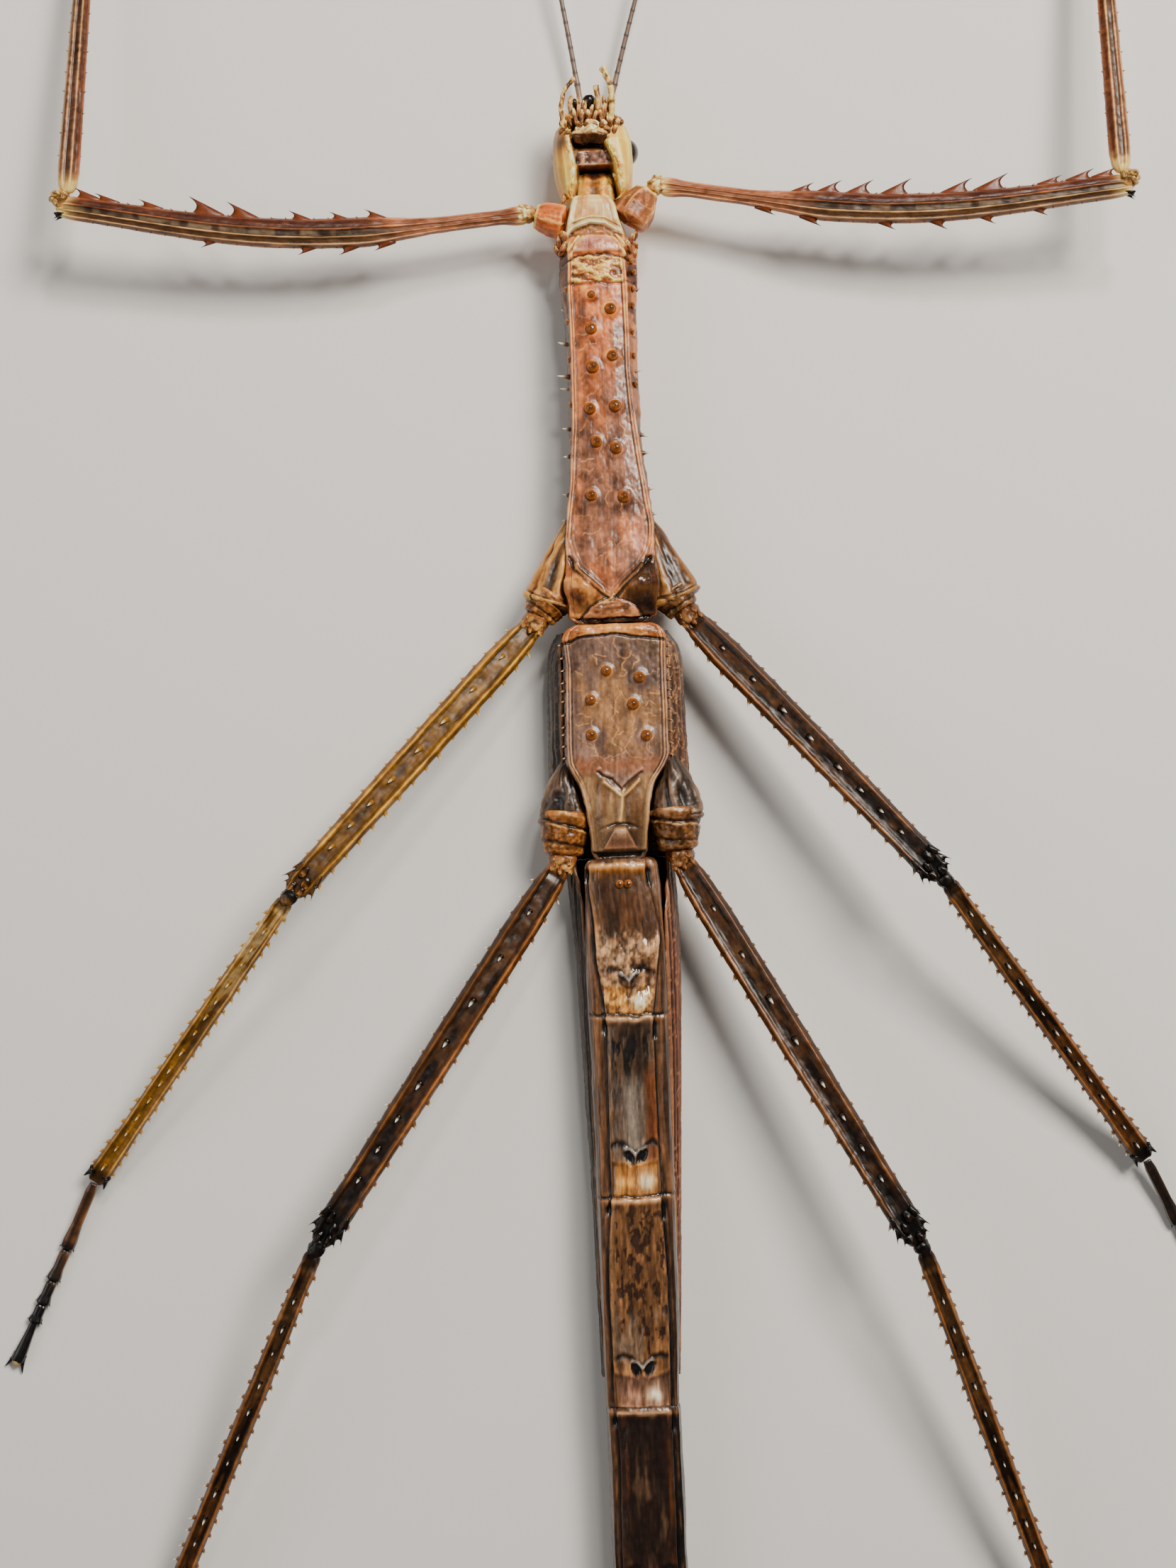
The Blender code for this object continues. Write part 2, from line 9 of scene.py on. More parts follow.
import bpy
import numpy as np
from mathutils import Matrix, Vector


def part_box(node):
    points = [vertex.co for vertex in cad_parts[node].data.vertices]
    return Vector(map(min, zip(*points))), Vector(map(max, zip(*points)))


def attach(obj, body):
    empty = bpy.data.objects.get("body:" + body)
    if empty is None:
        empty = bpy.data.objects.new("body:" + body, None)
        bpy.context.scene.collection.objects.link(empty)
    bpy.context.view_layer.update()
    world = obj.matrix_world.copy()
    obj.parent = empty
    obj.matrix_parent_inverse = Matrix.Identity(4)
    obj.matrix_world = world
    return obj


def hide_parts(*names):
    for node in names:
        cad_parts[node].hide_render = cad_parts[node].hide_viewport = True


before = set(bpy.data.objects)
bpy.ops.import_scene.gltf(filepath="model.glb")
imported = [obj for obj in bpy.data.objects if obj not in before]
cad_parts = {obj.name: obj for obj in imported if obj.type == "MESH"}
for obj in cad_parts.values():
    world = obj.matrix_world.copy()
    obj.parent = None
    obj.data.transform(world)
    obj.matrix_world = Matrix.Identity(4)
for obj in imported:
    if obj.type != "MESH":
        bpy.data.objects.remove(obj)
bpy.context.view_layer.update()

MM = 0.001
METATHORAX_FRONT = 9.5  # mm, body-frame place of that node's front end
WING_INNER_EDGE = 0.1  # mm, body-frame place of the left wing's inner edge
SHIFT = np.array([
    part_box("wing_left")[0].x / MM - WING_INNER_EDGE,
    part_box("metathorax")[1].y / MM - METATHORAX_FRONT,
    0.0,
])


# ---------------------------------------------------------------- numbers

def table(rows, at):
    """Each value column of rows (place, value, ...), read at the given places along straight lines."""
    rows = np.array(sorted(rows), float)
    read = [np.interp(at, rows[:, 0], rows[:, i]) for i in range(1, rows.shape[1])]
    return read[0] if len(read) == 1 else read


def along(line, at):
    """The X of a line of points (X, Y) at each place Y."""
    return table([(y, x) for x, y in line], at)


def blur(values, sigma, axis=0, wrap=False):
    """The values smoothed along one axis by a Gaussian of sigma rows."""
    reach = int(3 * sigma) + 1
    kernel = np.exp(-0.5 * (np.arange(-reach, reach + 1) / sigma) ** 2)
    kernel /= kernel.sum()
    widths = [(reach, reach) if i == axis else (0, 0) for i in range(values.ndim)]
    padded = np.pad(values, widths, mode="wrap" if wrap else "edge")
    count = values.shape[axis]
    return sum(k * np.take(padded, np.arange(i, i + count), axis) for i, k in enumerate(kernel))


def step(low, high, value):
    """0 below low, 1 above high, and a smooth rise between."""
    t = np.clip((value - low) / (high - low), 0, 1)
    return t * t * (3 - 2 * t)


def bump(distance, width):
    """1 at no distance, falling to nearly 0 at twice width."""
    return np.exp(-((distance / width) ** 2))


def spot(x, y, wide, long):
    """1 at the origin, falling to nearly 0 round an ellipse of twice these half sizes."""
    return bump(np.hypot(x / wide, y / long), 1.0)


def turns(count):
    """One row of count equal steps round a circle."""
    return (math.tau * np.arange(count) / count)[None]


def window(value, low, high, soft):
    """1 between low and high, with soft ends."""
    return step(low - soft, low + soft, value) * (1 - step(high - soft, high + soft, value))


def between(value, low_edge, high_edge, start, full):
    """0 outside two rows of edges: the rise to 1 goes from start to full mm inside each of them."""
    return step(start, full, value - low_edge[:, None]) * step(start, full, high_edge[:, None] - value)


def lattice(x, y, z, seed):
    """A fixed value between -1 and 1 for each whole-numbered place, from a hash of it."""
    h = (x * 73856093 ^ y * 19349663 ^ z * 83492791 ^ seed * 40503) & 0xFFFFFFFF
    for factor in (0x2C1B3C6D, 0x297A2D39):
        h = ((h ^ (h >> 15)) * factor) & 0xFFFFFFFF
    return (h ^ (h >> 16)) / 0xFFFFFFFF * 2 - 1


def noise(x, y, z=0.0, seed=1, octaves=3):
    """Smooth noise between about -1 and 1, the same on every run."""
    total, weight, size = 0.0, 1.0, 0.0
    x, y, z = np.broadcast_arrays(x, y, z)
    for octave in range(octaves):
        cell = [np.floor(v * 2.0**octave).astype(np.int64) for v in (x, y, z)]
        part = [v * 2.0**octave - c for v, c in zip((x, y, z), cell)]
        part = [f * f * (3 - 2 * f) for f in part]
        value = 0.0
        for corner in range(8):
            bits = corner & 1, corner >> 1 & 1, corner >> 2
            share = np.prod([f if b else 1 - f for f, b in zip(part, bits)], axis=0)
            value = value + share * lattice(*(c + b for c, b in zip(cell, bits)), seed + octave)
        total, size, weight = total + weight * value, size + weight, weight * 0.5
    return total / size * 1.4


def cloud(points, scale, seed):
    """Noise at each of the points. scale is one number, or one for each axis."""
    return noise(*np.moveaxis(points * scale, -1, 0), seed)


def veins(x, y, scale_x, scale_y, seed, width):
    """Thin crooked lines, 1 on the line and 0 away from it."""
    field = noise(x * scale_x, y * scale_y, seed=seed, octaves=3)
    return 1 - step(0, width, np.abs(field))


def line_distance(x, y, line):
    """How far each place lies from a line of points (X, Y)."""
    best = np.full(np.shape(x), 1e3)
    for (ax, ay), (bx, by) in zip(line, line[1:]):
        dx, dy = bx - ax, by - ay
        t = np.clip(((x - ax) * dx + (y - ay) * dy) / (dx * dx + dy * dy), 0, 1)
        best = np.minimum(best, np.hypot(x - ax - t * dx, y - ay - t * dy))
    return best


# ---------------------------------------------------------------- tints: (linear red, green, blue, roughness)

def mix(one, two, weight):
    """Tints between one and two: 0 is one, 1 is two."""
    one = np.asarray(one)
    return one + (two - one) * np.asarray(weight)[..., None]


def layer(tints, *coats):
    """The tints with coats laid over them in turn. A coat is its own tint and how much of it shows."""
    for coat, weight in coats:
        tints = mix(tints, coat, weight)
    return tints


def shade(tints, factor):
    """The tints made lighter or darker, with the roughness kept."""
    factor = np.asarray(factor)[..., None]
    return tints * np.concatenate([factor, factor, factor, np.ones_like(factor)], axis=-1)


# ---------------------------------------------------------------- surfaces

def normals(points):
    """The outward direction at each point of a closed tube's rows."""
    across = np.roll(points, -1, 1) - np.roll(points, 1, 1)
    lengthways = np.gradient(points, axis=0)
    n = np.cross(across, lengthways)
    n /= np.maximum(np.linalg.norm(n, axis=-1, keepdims=True), 1e-9)
    outwards = (n * (points - points.mean(axis=1, keepdims=True))).sum()
    return -n if outwards < 0 else n


def ring(corners, counts, sigma=1.0):
    """(rows, columns, values) round a section. A corner is a tuple of values, or of rows of values."""
    rows = np.stack([np.stack(np.broadcast_arrays(*corner), -1) for corner in corners], axis=-2)
    if rows.ndim == 2:
        rows = rows[None]
    parts = []
    for i, count in enumerate(counts):
        one, two = rows[:, i], rows[:, (i + 1) % len(corners)]
        t = (np.arange(count) / count)[None, :, None]
        parts.append(one[:, None] + (two - one)[:, None] * t)
    return blur(np.concatenate(parts, axis=1), sigma, axis=1, wrap=True)


def smooth_route(knots, share, sigma):
    """The line through the knots, read at each share of their count and smoothed."""
    places = np.linspace(0, 1, len(knots))
    return blur(np.stack([np.interp(share, places, column) for column in np.transpose(knots)], -1), sigma)


def sides_of(centre):
    """The unit vectors to the side and up at each point of a line."""
    way = np.gradient(centre, axis=0)
    way /= np.linalg.norm(way, axis=-1, keepdims=True)
    side = np.cross(way, (0, 0, 1))
    side /= np.linalg.norm(side, axis=-1, keepdims=True)
    return side, np.cross(side, way)


def round_rows(centre, size, columns):
    """Circles of points round a line."""
    side, up = sides_of(centre)
    angle = turns(columns)[..., None]
    return (centre[:, None]
            + (np.cos(angle) * side[:, None] + np.sin(angle) * up[:, None]) * size[:, None, None])


def fibres(points, seed, length=0.3, width=2.8):
    """Noise drawn out along a tube: fine lengthways streaks."""
    centre = points.mean(axis=1)
    way = np.gradient(centre, axis=0)
    gone = np.cumsum(np.linalg.norm(way, axis=1))
    side = np.cross(way, (0, 0, 1)) + (1e-7, 0, 0)
    side /= np.linalg.norm(side, axis=1, keepdims=True)
    offset = points - centre[:, None]
    across = (offset * side[:, None]).sum(-1)
    return noise(gone[:, None] * length + 0 * across, across * width, offset[..., 2] * width, seed)


def hollows(points):
    """How deep each point lies below its surroundings in mm, for a narrow and a wide neighbourhood."""
    n = normals(points)
    found = []
    for reach in (1.3, 4.5):
        soft = blur(blur(points, reach), reach, 1, wrap=True)
        depth = ((soft - points) * n).sum(-1)
        found.append(depth - np.median(depth))
    return found


CRACK_STRIDE = 0.32  # mm from one point of a crack to the next
CRACK_WANDER = 95  # degrees that a crack turns away from its heading at most, or a little more


def crack(seed, x, y, heading, length):
    """A crooked line of length mm that starts at (x, y) and sets off at heading degrees."""
    line = [(x, y)]
    for i in range(int(length / CRACK_STRIDE)):
        turn = CRACK_WANDER * float(noise(i * 0.55 + seed * 3.7, seed * 1.3, 0.5, seed, 2))
        angle = math.radians(heading + turn)
        x, y = x + CRACK_STRIDE * math.cos(angle), y + CRACK_STRIDE * math.sin(angle)
        line.append((x, y))
    return line


def cracks_from(seed, starts):
    """A crack for each (X, Y, heading, length)."""
    return [crack(seed + i, *start) for i, start in enumerate(starts)]


def strokes(x, y, lines, width):
    """1 on the lines, falling to 0 at about twice width from them."""
    found = np.zeros(np.shape(x))
    for line in lines:
        xs, ys = zip(*line)
        near = ((x > min(xs) - 3 * width) & (x < max(xs) + 3 * width) & (y > min(ys) - 3 * width)
                & (y < max(ys) + 3 * width))
        if near.any():
            found[near] = np.maximum(found[near], bump(line_distance(x[near], y[near], line), width))
    return found


class Bag:
    """The points, faces and tints of one piece."""

    def __init__(self):
        self.points, self.tints, self.quads, self.tris, self.count = [], [], [], [], 0

    def add(self, points, tints, quads, tris):
        """A closed surface, turned to face outwards."""
        fan = np.concatenate([quads[:, [0, 1, 2]], quads[:, [0, 2, 3]], tris])
        corner = points[fan]
        if np.einsum("ij,ij->i", corner[:, 0], np.cross(corner[:, 1], corner[:, 2])).sum() < 0:
            quads, tris = quads[:, ::-1], tris[:, ::-1]
        self.points.append(points)
        self.tints.append(tints)
        self.quads.append(quads + self.count)
        self.tris.append(tris + self.count)
        self.count += len(points)

    def tube(self, points, tints, relief=0.0, grain=0.02, streak=0.16, hollow_shade=1.0):
        """A closed tube through rows of points, raised by relief mm, streaked, with painted shade in its
        hollows.
        """
        rows, columns = points.shape[:2]
        streaks = fibres(points, rows + columns)
        points = points + normals(points) * (relief + grain * streaks)[..., None]
        # painted shade and light: darker where the surface lies below its surroundings, lighter on crests
        narrow, wide = hollows(points)
        tints = np.broadcast_to(tints, (rows, columns, 4))
        tints = shade(tints,
                      np.exp(-hollow_shade * np.clip(narrow * 12 + wide * 3.5, -0.4, 1.4)) * (1 + streak * streaks))
        index = np.arange(rows * columns).reshape(rows, columns)
        after = np.roll(index, -1, axis=1)
        quads = np.stack([index[:-1], after[:-1], after[1:], index[1:]], -1).reshape(-1, 4)
        tips = rows * columns, rows * columns + 1
        first = np.stack([after[0], index[0], np.full(columns, tips[0])], -1)
        last = np.stack([index[-1], after[-1], np.full(columns, tips[1])], -1)
        flat = np.concatenate([points.reshape(-1, 3), points[0].mean(0)[None], points[-1].mean(0)[None]])
        colours = np.concatenate([tints.reshape(-1, 4), tints[0].mean(0)[None], tints[-1].mean(0)[None]])
        self.add(flat, colours, quads, np.concatenate([first, last]))

    def dome(self, centre, radii, tints, axis=(0, 0, 1), rows=12, columns=18, low=None, rough=0.0, seed=1,
             turn=0.0):
        """An ellipsoid with its third radius along axis, crumpled by rough. low tints its lower half as
        painted shade.
        """
        axis = np.array(axis, float) / np.linalg.norm(axis)
        side = np.cross(axis, (math.sin(turn), math.cos(turn), 0.001))
        side /= np.linalg.norm(side)
        up = np.cross(axis, side)
        a = np.linspace(0.02, math.pi - 0.02, rows)[:, None]
        b = turns(columns)
        x, y, z = np.sin(a) * np.cos(b), np.sin(a) * np.sin(b), np.cos(a) + 0 * b
        points = sum(v[..., None] * r * way for v, r, way in zip((x, y, z), radii, (side, up, axis)))
        if rough:
            crumple = (noise(x * 1.7 + seed, y * 1.7, z * 1.7, seed, 3)
                       + 0.5 * np.abs(noise(x * 2.6, y * 2.6 + seed, z * 2.6, seed + 5, 2)))
            points = points * (1 + rough * crumple)[..., None]
        low = tints if low is None else low
        # the lower half takes the low tint: painted shade under the lump
        self.tube(np.array(centre, float) + points, mix(low, tints, step(0.0, 0.75, z)), grain=0.006,
                  streak=0.1, hollow_shade=1.0 if rough else 0.0)

    def spike(self, base, tip, radius, dark, pale, hook=(0, 0, 0), sides=8, fade=0.55):
        """A thorn from base to tip, as thick as radius at its base and bent towards hook."""
        base, tip, hook = (np.array(v, float) for v in (base, tip, hook))
        way = (tip - base) / np.linalg.norm(tip - base)
        side = np.cross(way, (0, 0, 1) if abs(way[2]) < 0.9 else (0, 1, 0))
        side /= np.linalg.norm(side)
        up = np.cross(side, way)
        t = np.array([0.0, 0.12, 0.28, 0.45, 0.62, 0.78, 0.9, 1.0])
        size = radius * np.array([1.35, 1.05, 0.82, 0.62, 0.46, 0.32, 0.2, 0.05])
        angle = math.tau * np.arange(sides) / sides
        round_ = np.cos(angle)[None, :, None] * side + np.sin(angle)[None, :, None] * up
        centre = base + (tip - base) * t[:, None] + hook * (t[:, None] ** 2)
        points = centre[:, None] + round_ * size[:, None, None]
        colours = mix(dark, pale,
                      np.broadcast_to(step(fade - 0.25, fade + 0.25, t)[:, None], points.shape[:2]))
        self.tube(points, colours, grain=0.0, streak=0.0, hollow_shade=0.0)

    def fin(self, base, way, out, width, height, thick, root, edge):
        """A flat tooth like a shark's fin: it slopes up along way and ends steep."""
        across = np.cross(way, out)
        u = np.linspace(-0.25, 1, 14)[:, None]
        rise = np.clip(u, 0, 1)
        low = -0.62 * width + 1.0 * width * rise**1.05
        high = 0.36 * width - 0.2 * width * np.sin(np.pi * rise) + 0.04 * width * rise
        a = turns(16)
        lengthways = (low + high) / 2 + (high - low) / 2 * np.cos(a)
        sideways = (thick * (1 - rise) ** 0.7 + 0.03) * np.sin(a)
        points = (np.array(base) + lengthways[..., None] * np.array(way)
                  + (u * height + 0 * a)[..., None] * np.array(out) + sideways[..., None] * across)
        rim = np.maximum(step(0.55, 0.95, np.abs(np.cos(a))) * step(0.05, 0.3, rise),
                         step(0.6, 1, rise) + 0 * a)
        self.tube(points, mix(root, edge, rim), grain=0.0, streak=0.0, hollow_shade=0.0)


BOW_POWER = 1.2  # 1 bows a limb like a sine, and more keeps its ends straighter


class Limb:
    """A straight or bowed limb. Across it, 1 is its outer or head side and -1 the other."""

    def __init__(self, start, end, sizes, side_sign=1.0, bow=0.0, bow_way=(0, 0, 0)):
        self.start, self.end = np.array(start, float), np.array(end, float)
        self.length = np.linalg.norm(self.end - self.start)
        self.way = (self.end - self.start) / self.length
        side = np.cross(self.way, (0, 0, 1))
        self.up = np.cross(side, self.way) / np.linalg.norm(side)
        self.side = side / np.linalg.norm(side) * side_sign
        self.sizes, self.bow, self.bow_way = sizes, bow, np.array(bow_way, float)

    def size(self, share):
        """The half width and half depth at each share of the length."""
        return table(self.sizes, share)

    def centre(self, share):
        """The middle of the section at each share of the length."""
        share = np.asarray(share, float)
        arc = np.sin(np.pi * np.clip(share, 0, 1)) ** BOW_POWER
        return (self.start + self.way * (share * self.length)[..., None]
                + self.bow_way * (self.bow * arc)[..., None])

    def point(self, share, x, z):
        """The place at x across and z up in the section there, where 1 is the edge."""
        wide, deep = self.size(share)
        return self.centre(share) + self.side * (wide * x) + self.up * (deep * z)

    def skin(self, bag, rows, corners, counts, relief, paint=None, sigma=1.0, soften=2.0,
             ends=(0.004, 0.004)):
        """corners are (across, up, red, green, blue, roughness) round the section."""
        share = np.linspace(0, 1, rows)
        wide, deep = (blur(v, soften) for v in self.size(share))
        for near, size in ((share, ends[0]), (1 - share, ends[1])):
            cap = np.sqrt(np.clip(1 - (1 - np.clip(near / size, 0, 1)) ** 2, 0, 1)) * 0.75 + 0.25
            wide, deep = wide * cap, deep * cap
        section = ring(corners, counts, sigma)
        x, z, colours = section[..., 0], section[..., 1], section[..., 2:]
        points = (self.centre(share)[:, None] + self.side * (x * wide[:, None])[..., None]
                  + self.up * (z * deep[:, None])[..., None])
        x, z = np.broadcast_to(x, points.shape[:2]), np.broadcast_to(z, points.shape[:2])
        share = np.broadcast_to(share[:, None], points.shape[:2])
        colours = np.broadcast_to(colours, (*points.shape[:2], 4)).copy()
        if paint:
            colours = paint(share, x, z, points, colours)
        bag.tube(points, colours, relief(share, x, z, points))


# ---------------------------------------------------------------- materials

DEPTH = 1.6  # the view transform pales and flattens tints, so they are deepened by this power and this gain
GAIN = 1.5
BRIGHTEST = 0.92  # stored tints near this softly and never pass it


def graded(tints):
    """The tints as the mesh stores them: deepened, and held inside what a shader takes."""
    made = tints.copy()
    colour = np.clip(tints[..., :3], 0.002, 1.2) ** DEPTH * GAIN
    made[..., :3] = colour / (1 + (colour / BRIGHTEST) ** 4) ** 0.25
    made[..., 3] = np.clip(made[..., 3], 0.08, 1)
    return np.clip(made, 0, 1)


def glossy(name, **inputs):
    """A new node material, with the numbers given set on its shader."""
    material = bpy.data.materials.new(name)
    material.use_nodes = True
    nodes, links = material.node_tree.nodes, material.node_tree.links
    shader = nodes["Principled BSDF"]
    settings(shader, **inputs)
    return material, nodes, links, shader


def settings(node, **inputs):
    """Sets a node's inputs: from_min=0.25 sets From Min. IOR keeps its capitals."""
    for key, value in inputs.items():
        node.inputs[key.replace("_", " ").title().replace("Ior", "IOR")].default_value = value


def shell_material(name, coat, coat_rough, grain, pits, specular=0.5):
    """Insect shell: the mesh's own tints under a fine grain, with a thin glossy coat."""
    material, nodes, links, shader = glossy(
        name, coat_weight=coat, coat_roughness=coat_rough, specular_ior_level=specular)
    place = nodes.new("ShaderNodeTexCoord")
    paint = nodes.new("ShaderNodeAttribute")
    paint.attribute_name = "tint"

    def texture(scale, detail):
        node = nodes.new("ShaderNodeTexNoise")
        settings(node, scale=scale, detail=detail, roughness=0.6)
        links.new(place.outputs["Object"], node.inputs["Vector"])
        return node.outputs["Fac"]

    def ranged(source, low, high):
        node = nodes.new("ShaderNodeMapRange")
        settings(node, from_min=0.25, from_max=0.75, to_min=low, to_max=high)
        links.new(source, node.inputs["Value"])
        return node.outputs["Result"]

    def times(one, two):
        node = nodes.new("ShaderNodeVectorMath")
        node.operation = "SCALE"
        links.new(one, node.inputs[0])
        links.new(two, node.inputs["Scale"])
        return node.outputs[0]

    mottle, speck = texture(1100, 5), texture(5200, 3)
    colour = times(times(paint.outputs["Color"], ranged(mottle, 1 - grain, 1 + grain)),
                   ranged(speck, 1 - grain * 0.6, 1 + grain * 0.6))
    links.new(colour, shader.inputs["Base Color"])
    rough = nodes.new("ShaderNodeMath")
    rough.operation = "ADD"
    rough.use_clamp = True
    links.new(paint.outputs["Alpha"], rough.inputs[0])
    links.new(ranged(mottle, -0.08, 0.12), rough.inputs[1])
    links.new(rough.outputs[0], shader.inputs["Roughness"])
    chain = None
    for source, distance in ((mottle, pits), (speck, pits * 0.35)):
        node = nodes.new("ShaderNodeBump")
        settings(node, strength=0.6, distance=distance * MM)
        links.new(source, node.inputs["Height"])
        if chain:
            links.new(chain, node.inputs["Normal"])
        chain = node.outputs["Normal"]
    links.new(chain, shader.inputs["Normal"])
    return material


def eye_material():
    """A black compound eye: rows of tiny facets under a glossy coat."""
    material, nodes, links, shader = glossy("insect_eye", coat_weight=0.8, coat_roughness=0.08,
                                            roughness=0.25)
    place = nodes.new("ShaderNodeTexCoord")
    facets = nodes.new("ShaderNodeTexVoronoi")
    settings(facets, scale=9000)
    links.new(place.outputs["Object"], facets.inputs["Vector"])
    ramp = nodes.new("ShaderNodeValToRGB")
    ramp.color_ramp.elements[0].color = (0.03, 0.022, 0.018, 1)
    ramp.color_ramp.elements[1].color = (0.004, 0.004, 0.005, 1)
    links.new(facets.outputs["Distance"], ramp.inputs["Fac"])
    links.new(ramp.outputs["Color"], shader.inputs["Base Color"])
    relief = nodes.new("ShaderNodeBump")
    relief.invert = True
    settings(relief, strength=0.5, distance=0.02 * MM)
    links.new(facets.outputs["Distance"], relief.inputs["Height"])
    links.new(relief.outputs["Normal"], shader.inputs["Normal"])
    return material


SHELL = shell_material("insect_shell", coat=0.3, coat_rough=0.2, grain=0.16, pits=0.035)
PLATES = shell_material("insect_plate", coat=0.16, coat_rough=0.3, grain=0.10, pits=0.02)
LEG = shell_material("insect_leg", coat=0.05, coat_rough=0.35, grain=0.12, pits=0.03, specular=0.3)
SOFT = shell_material("insect_soft", coat=0.12, coat_rough=0.35, grain=0.10, pits=0.03)
WING = shell_material("insect_wing", coat=0.15, coat_rough=0.35, grain=0.18, pits=0.05)
EYE = eye_material()


FLOOR_GAP = 0.02  # mm, nothing lies lower
KNEE_LIMIT = 14.6  # mm, what stands higher is halved, so no knee stands over the CAD's highest point


def piece(name, bag, material, nodes):
    """Makes the bag one smooth mesh that stands for the CAD nodes named."""
    points = np.concatenate(bag.points) + SHIFT
    points[:, 2] = np.maximum(points[:, 2], FLOOR_GAP)
    points[:, 2] -= 0.5 * np.maximum(points[:, 2] - KNEE_LIMIT, 0)
    points *= MM
    quads, tris = np.concatenate(bag.quads), np.concatenate(bag.tris)
    mesh = bpy.data.meshes.new(name)
    mesh.vertices.add(len(points))
    mesh.vertices.foreach_set("co", points.astype(np.float32).ravel())
    mesh.loops.add(quads.size + tris.size)
    mesh.loops.foreach_set("vertex_index", np.concatenate([quads.ravel(), tris.ravel()]).astype(np.int32))
    mesh.polygons.add(len(quads) + len(tris))
    starts = np.concatenate([np.arange(len(quads)) * 4, quads.size + np.arange(len(tris)) * 3])
    mesh.polygons.foreach_set("loop_start", starts.astype(np.int32))
    mesh.update(calc_edges=True)
    mesh.validate()
    colours = mesh.attributes.new("tint", "FLOAT_COLOR", "POINT")
    colours.data.foreach_set("color", graded(np.concatenate(bag.tints)).astype(np.float32).ravel())
    mesh.shade_smooth()
    mesh.materials.append(material)
    obj = bpy.data.objects.new(name, mesh)
    bpy.context.scene.collection.objects.link(obj)
    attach(obj, "root")
    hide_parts(*nodes)


# ---------------------------------------------------------------- trunk

# (X, Y) lines of the body, in mm. L is the picture's left, the insect's right.
MESO_OUT_L = ((-4.2, 53.6), (-4.48, 48.7), (-4.12, 45.4), (-4.01, 42.2), (-3.98, 39), (-3.94, 35.7),
              (-3.99, 32.5), (-4.03, 29.3), (-4.24, 26.1), (-4.53, 22.9), (-4.8, 21.2), (-5.1, 19.6),
              (-5.45, 16.5), (-5.5, 13), (-5.1, 11.2), (-4.3, 9.6))
MESO_OUT_R = ((4.2, 53.6), (4.56, 52.8), (4.38, 48.3), (4.26, 45.1), (4.13, 41.9), (4.08, 38.7), (4.2, 35.4),
              (4.15, 32.2), (4.35, 29), (4.7, 25.7), (4.98, 22.5), (5.3, 20.8), (5.6, 19), (5.85, 16.5),
              (5.8, 13), (5.3, 11.2), (4.5, 9.6))
PLATE_L = ((-2.9, 53.6), (-2.99, 51.2), (-3.11, 48), (-3.08, 44.8), (-3.05, 41.6), (-3.09, 38.4),
           (-3.14, 35.2), (-3.19, 32), (-3.47, 28.9), (-3.68, 25.7), (-4.12, 22.5), (-4.34, 20.9),
           (-4.49, 19.3), (-4.4, 9.6))
PLATE_R = ((2.5, 53.6), (2.59, 51), (2.71, 47.8), (2.74, 44.6), (2.77, 41.4), (2.73, 38.2), (2.92, 35),
           (3.19, 31.8), (3.55, 28.6), (3.98, 25.4), (4.41, 22.2), (4.67, 20.6), (4.53, 19), (4.6, 9.6))
BULGE = ((-4.34, 20.9), (-4.49, 19.3), (-4.15, 17.7), (-3.49, 16.1), (-1.72, 14.4), (-0.03, 12.9),
         (1.47, 14.5), (2.96, 15.8), (4.06, 17.4), (4.53, 19), (4.67, 20.6))
MESO_KNOBS = ((-0.93, 46.77, 0.55), (1.16, 45.09, 0.8), (-1.08, 42.87, 0.8), (1.19, 39.75, 0.78),
              (-1.09, 38.56, 0.85), (1.28, 34.08, 0.85), (-1.6, 33.87, 0.82), (-1.03, 30.1, 0.8),
              (1.18, 29.29, 0.82), (-1.82, 24.06, 0.78), (1.84, 23.76, 0.85))
META_KNOBS = ((-0.93, 4.28, 0.72), (2.77, 3.41, 0.78), (-2.81, 1.09, 0.75), (1.94, 0.43, 0.8),
              (-2.89, -2.88, 0.75), (3.31, -3.13, 0.78))
SPINES_L = ((-3.48, 45.49, -4.44, 45.52), (-3.87, 41.55, -4.92, 41.75), (-3.86, 37.83, -5.15, 37.88),
            (-3.43, 36.53, -4.88, 36.58), (-3.93, 31.94, -4.82, 31.98), (-4.13, 28.8, -4.79, 28.67),
            (-4.46, 24.54, -5.03, 24.56), (-4.66, 21.64, -5.23, 21.5), (-4.9, 19.63, -5.66, 18.86))
SPINES_R = ((4.17, 48.98, 4.57, 48.96), (4.27, 47.44, 4.76, 47.66), (3.5, 38.11, 4.63, 38.23),
            (3.39, 35.45, 4.28, 35.41), (4.03, 31.15, 4.98, 30.71), (4.34, 28.87, 5.07, 28.85),
            (4.59, 24.91, 5.48, 24.87), (5.04, 21.99, 5.69, 21.96), (5.58, 19.38, 6.38, 19.19))
BELLY = ((68, 6.8), (64.5, 7.8), (61, 7.9), (58, 7.4), (53, 7.8), (50, 8.1), (40, 8.2), (30, 8.3), (20, 8.7),
         (15.5, 9.0), (12, 9.0), (9.5, 8.9), (5, 9.0), (-7, 9.2), (-11, 9.1), (-17.5, 8.5), (-21, 8.6),
         (-34.5, 8.6), (-55, 8.6), (-79, 8.3), (-103, 8.0), (-126, 7.4), (-146, 6.8), (-158, 6.2),
         (-166, 5.6), (-173, 4.8))
BACK = ((68, 1.6), (58, 1.9), (53, 1.6), (50, 1.2), (40, 1.0), (20, 0.9), (-79, 0.9), (-103, 0.5),
        (-126, 0.3), (-146, 0.3), (-158, 0.5), (-166, 0.7), (-173, 1.0))

# the ridges' pale: partly their own colour and partly a painted highlight
CARINA_AND_HIGHLIGHT = (0.60, 0.36, 0.20, 0.32)
KNOB = (0.36, 0.165, 0.045, 0.2)
DARK = (0.035, 0.018, 0.011, 0.35)
BLACK = (0.008, 0.005, 0.004, 0.3)
TIP = (0.85, 0.78, 0.62, 0.3)


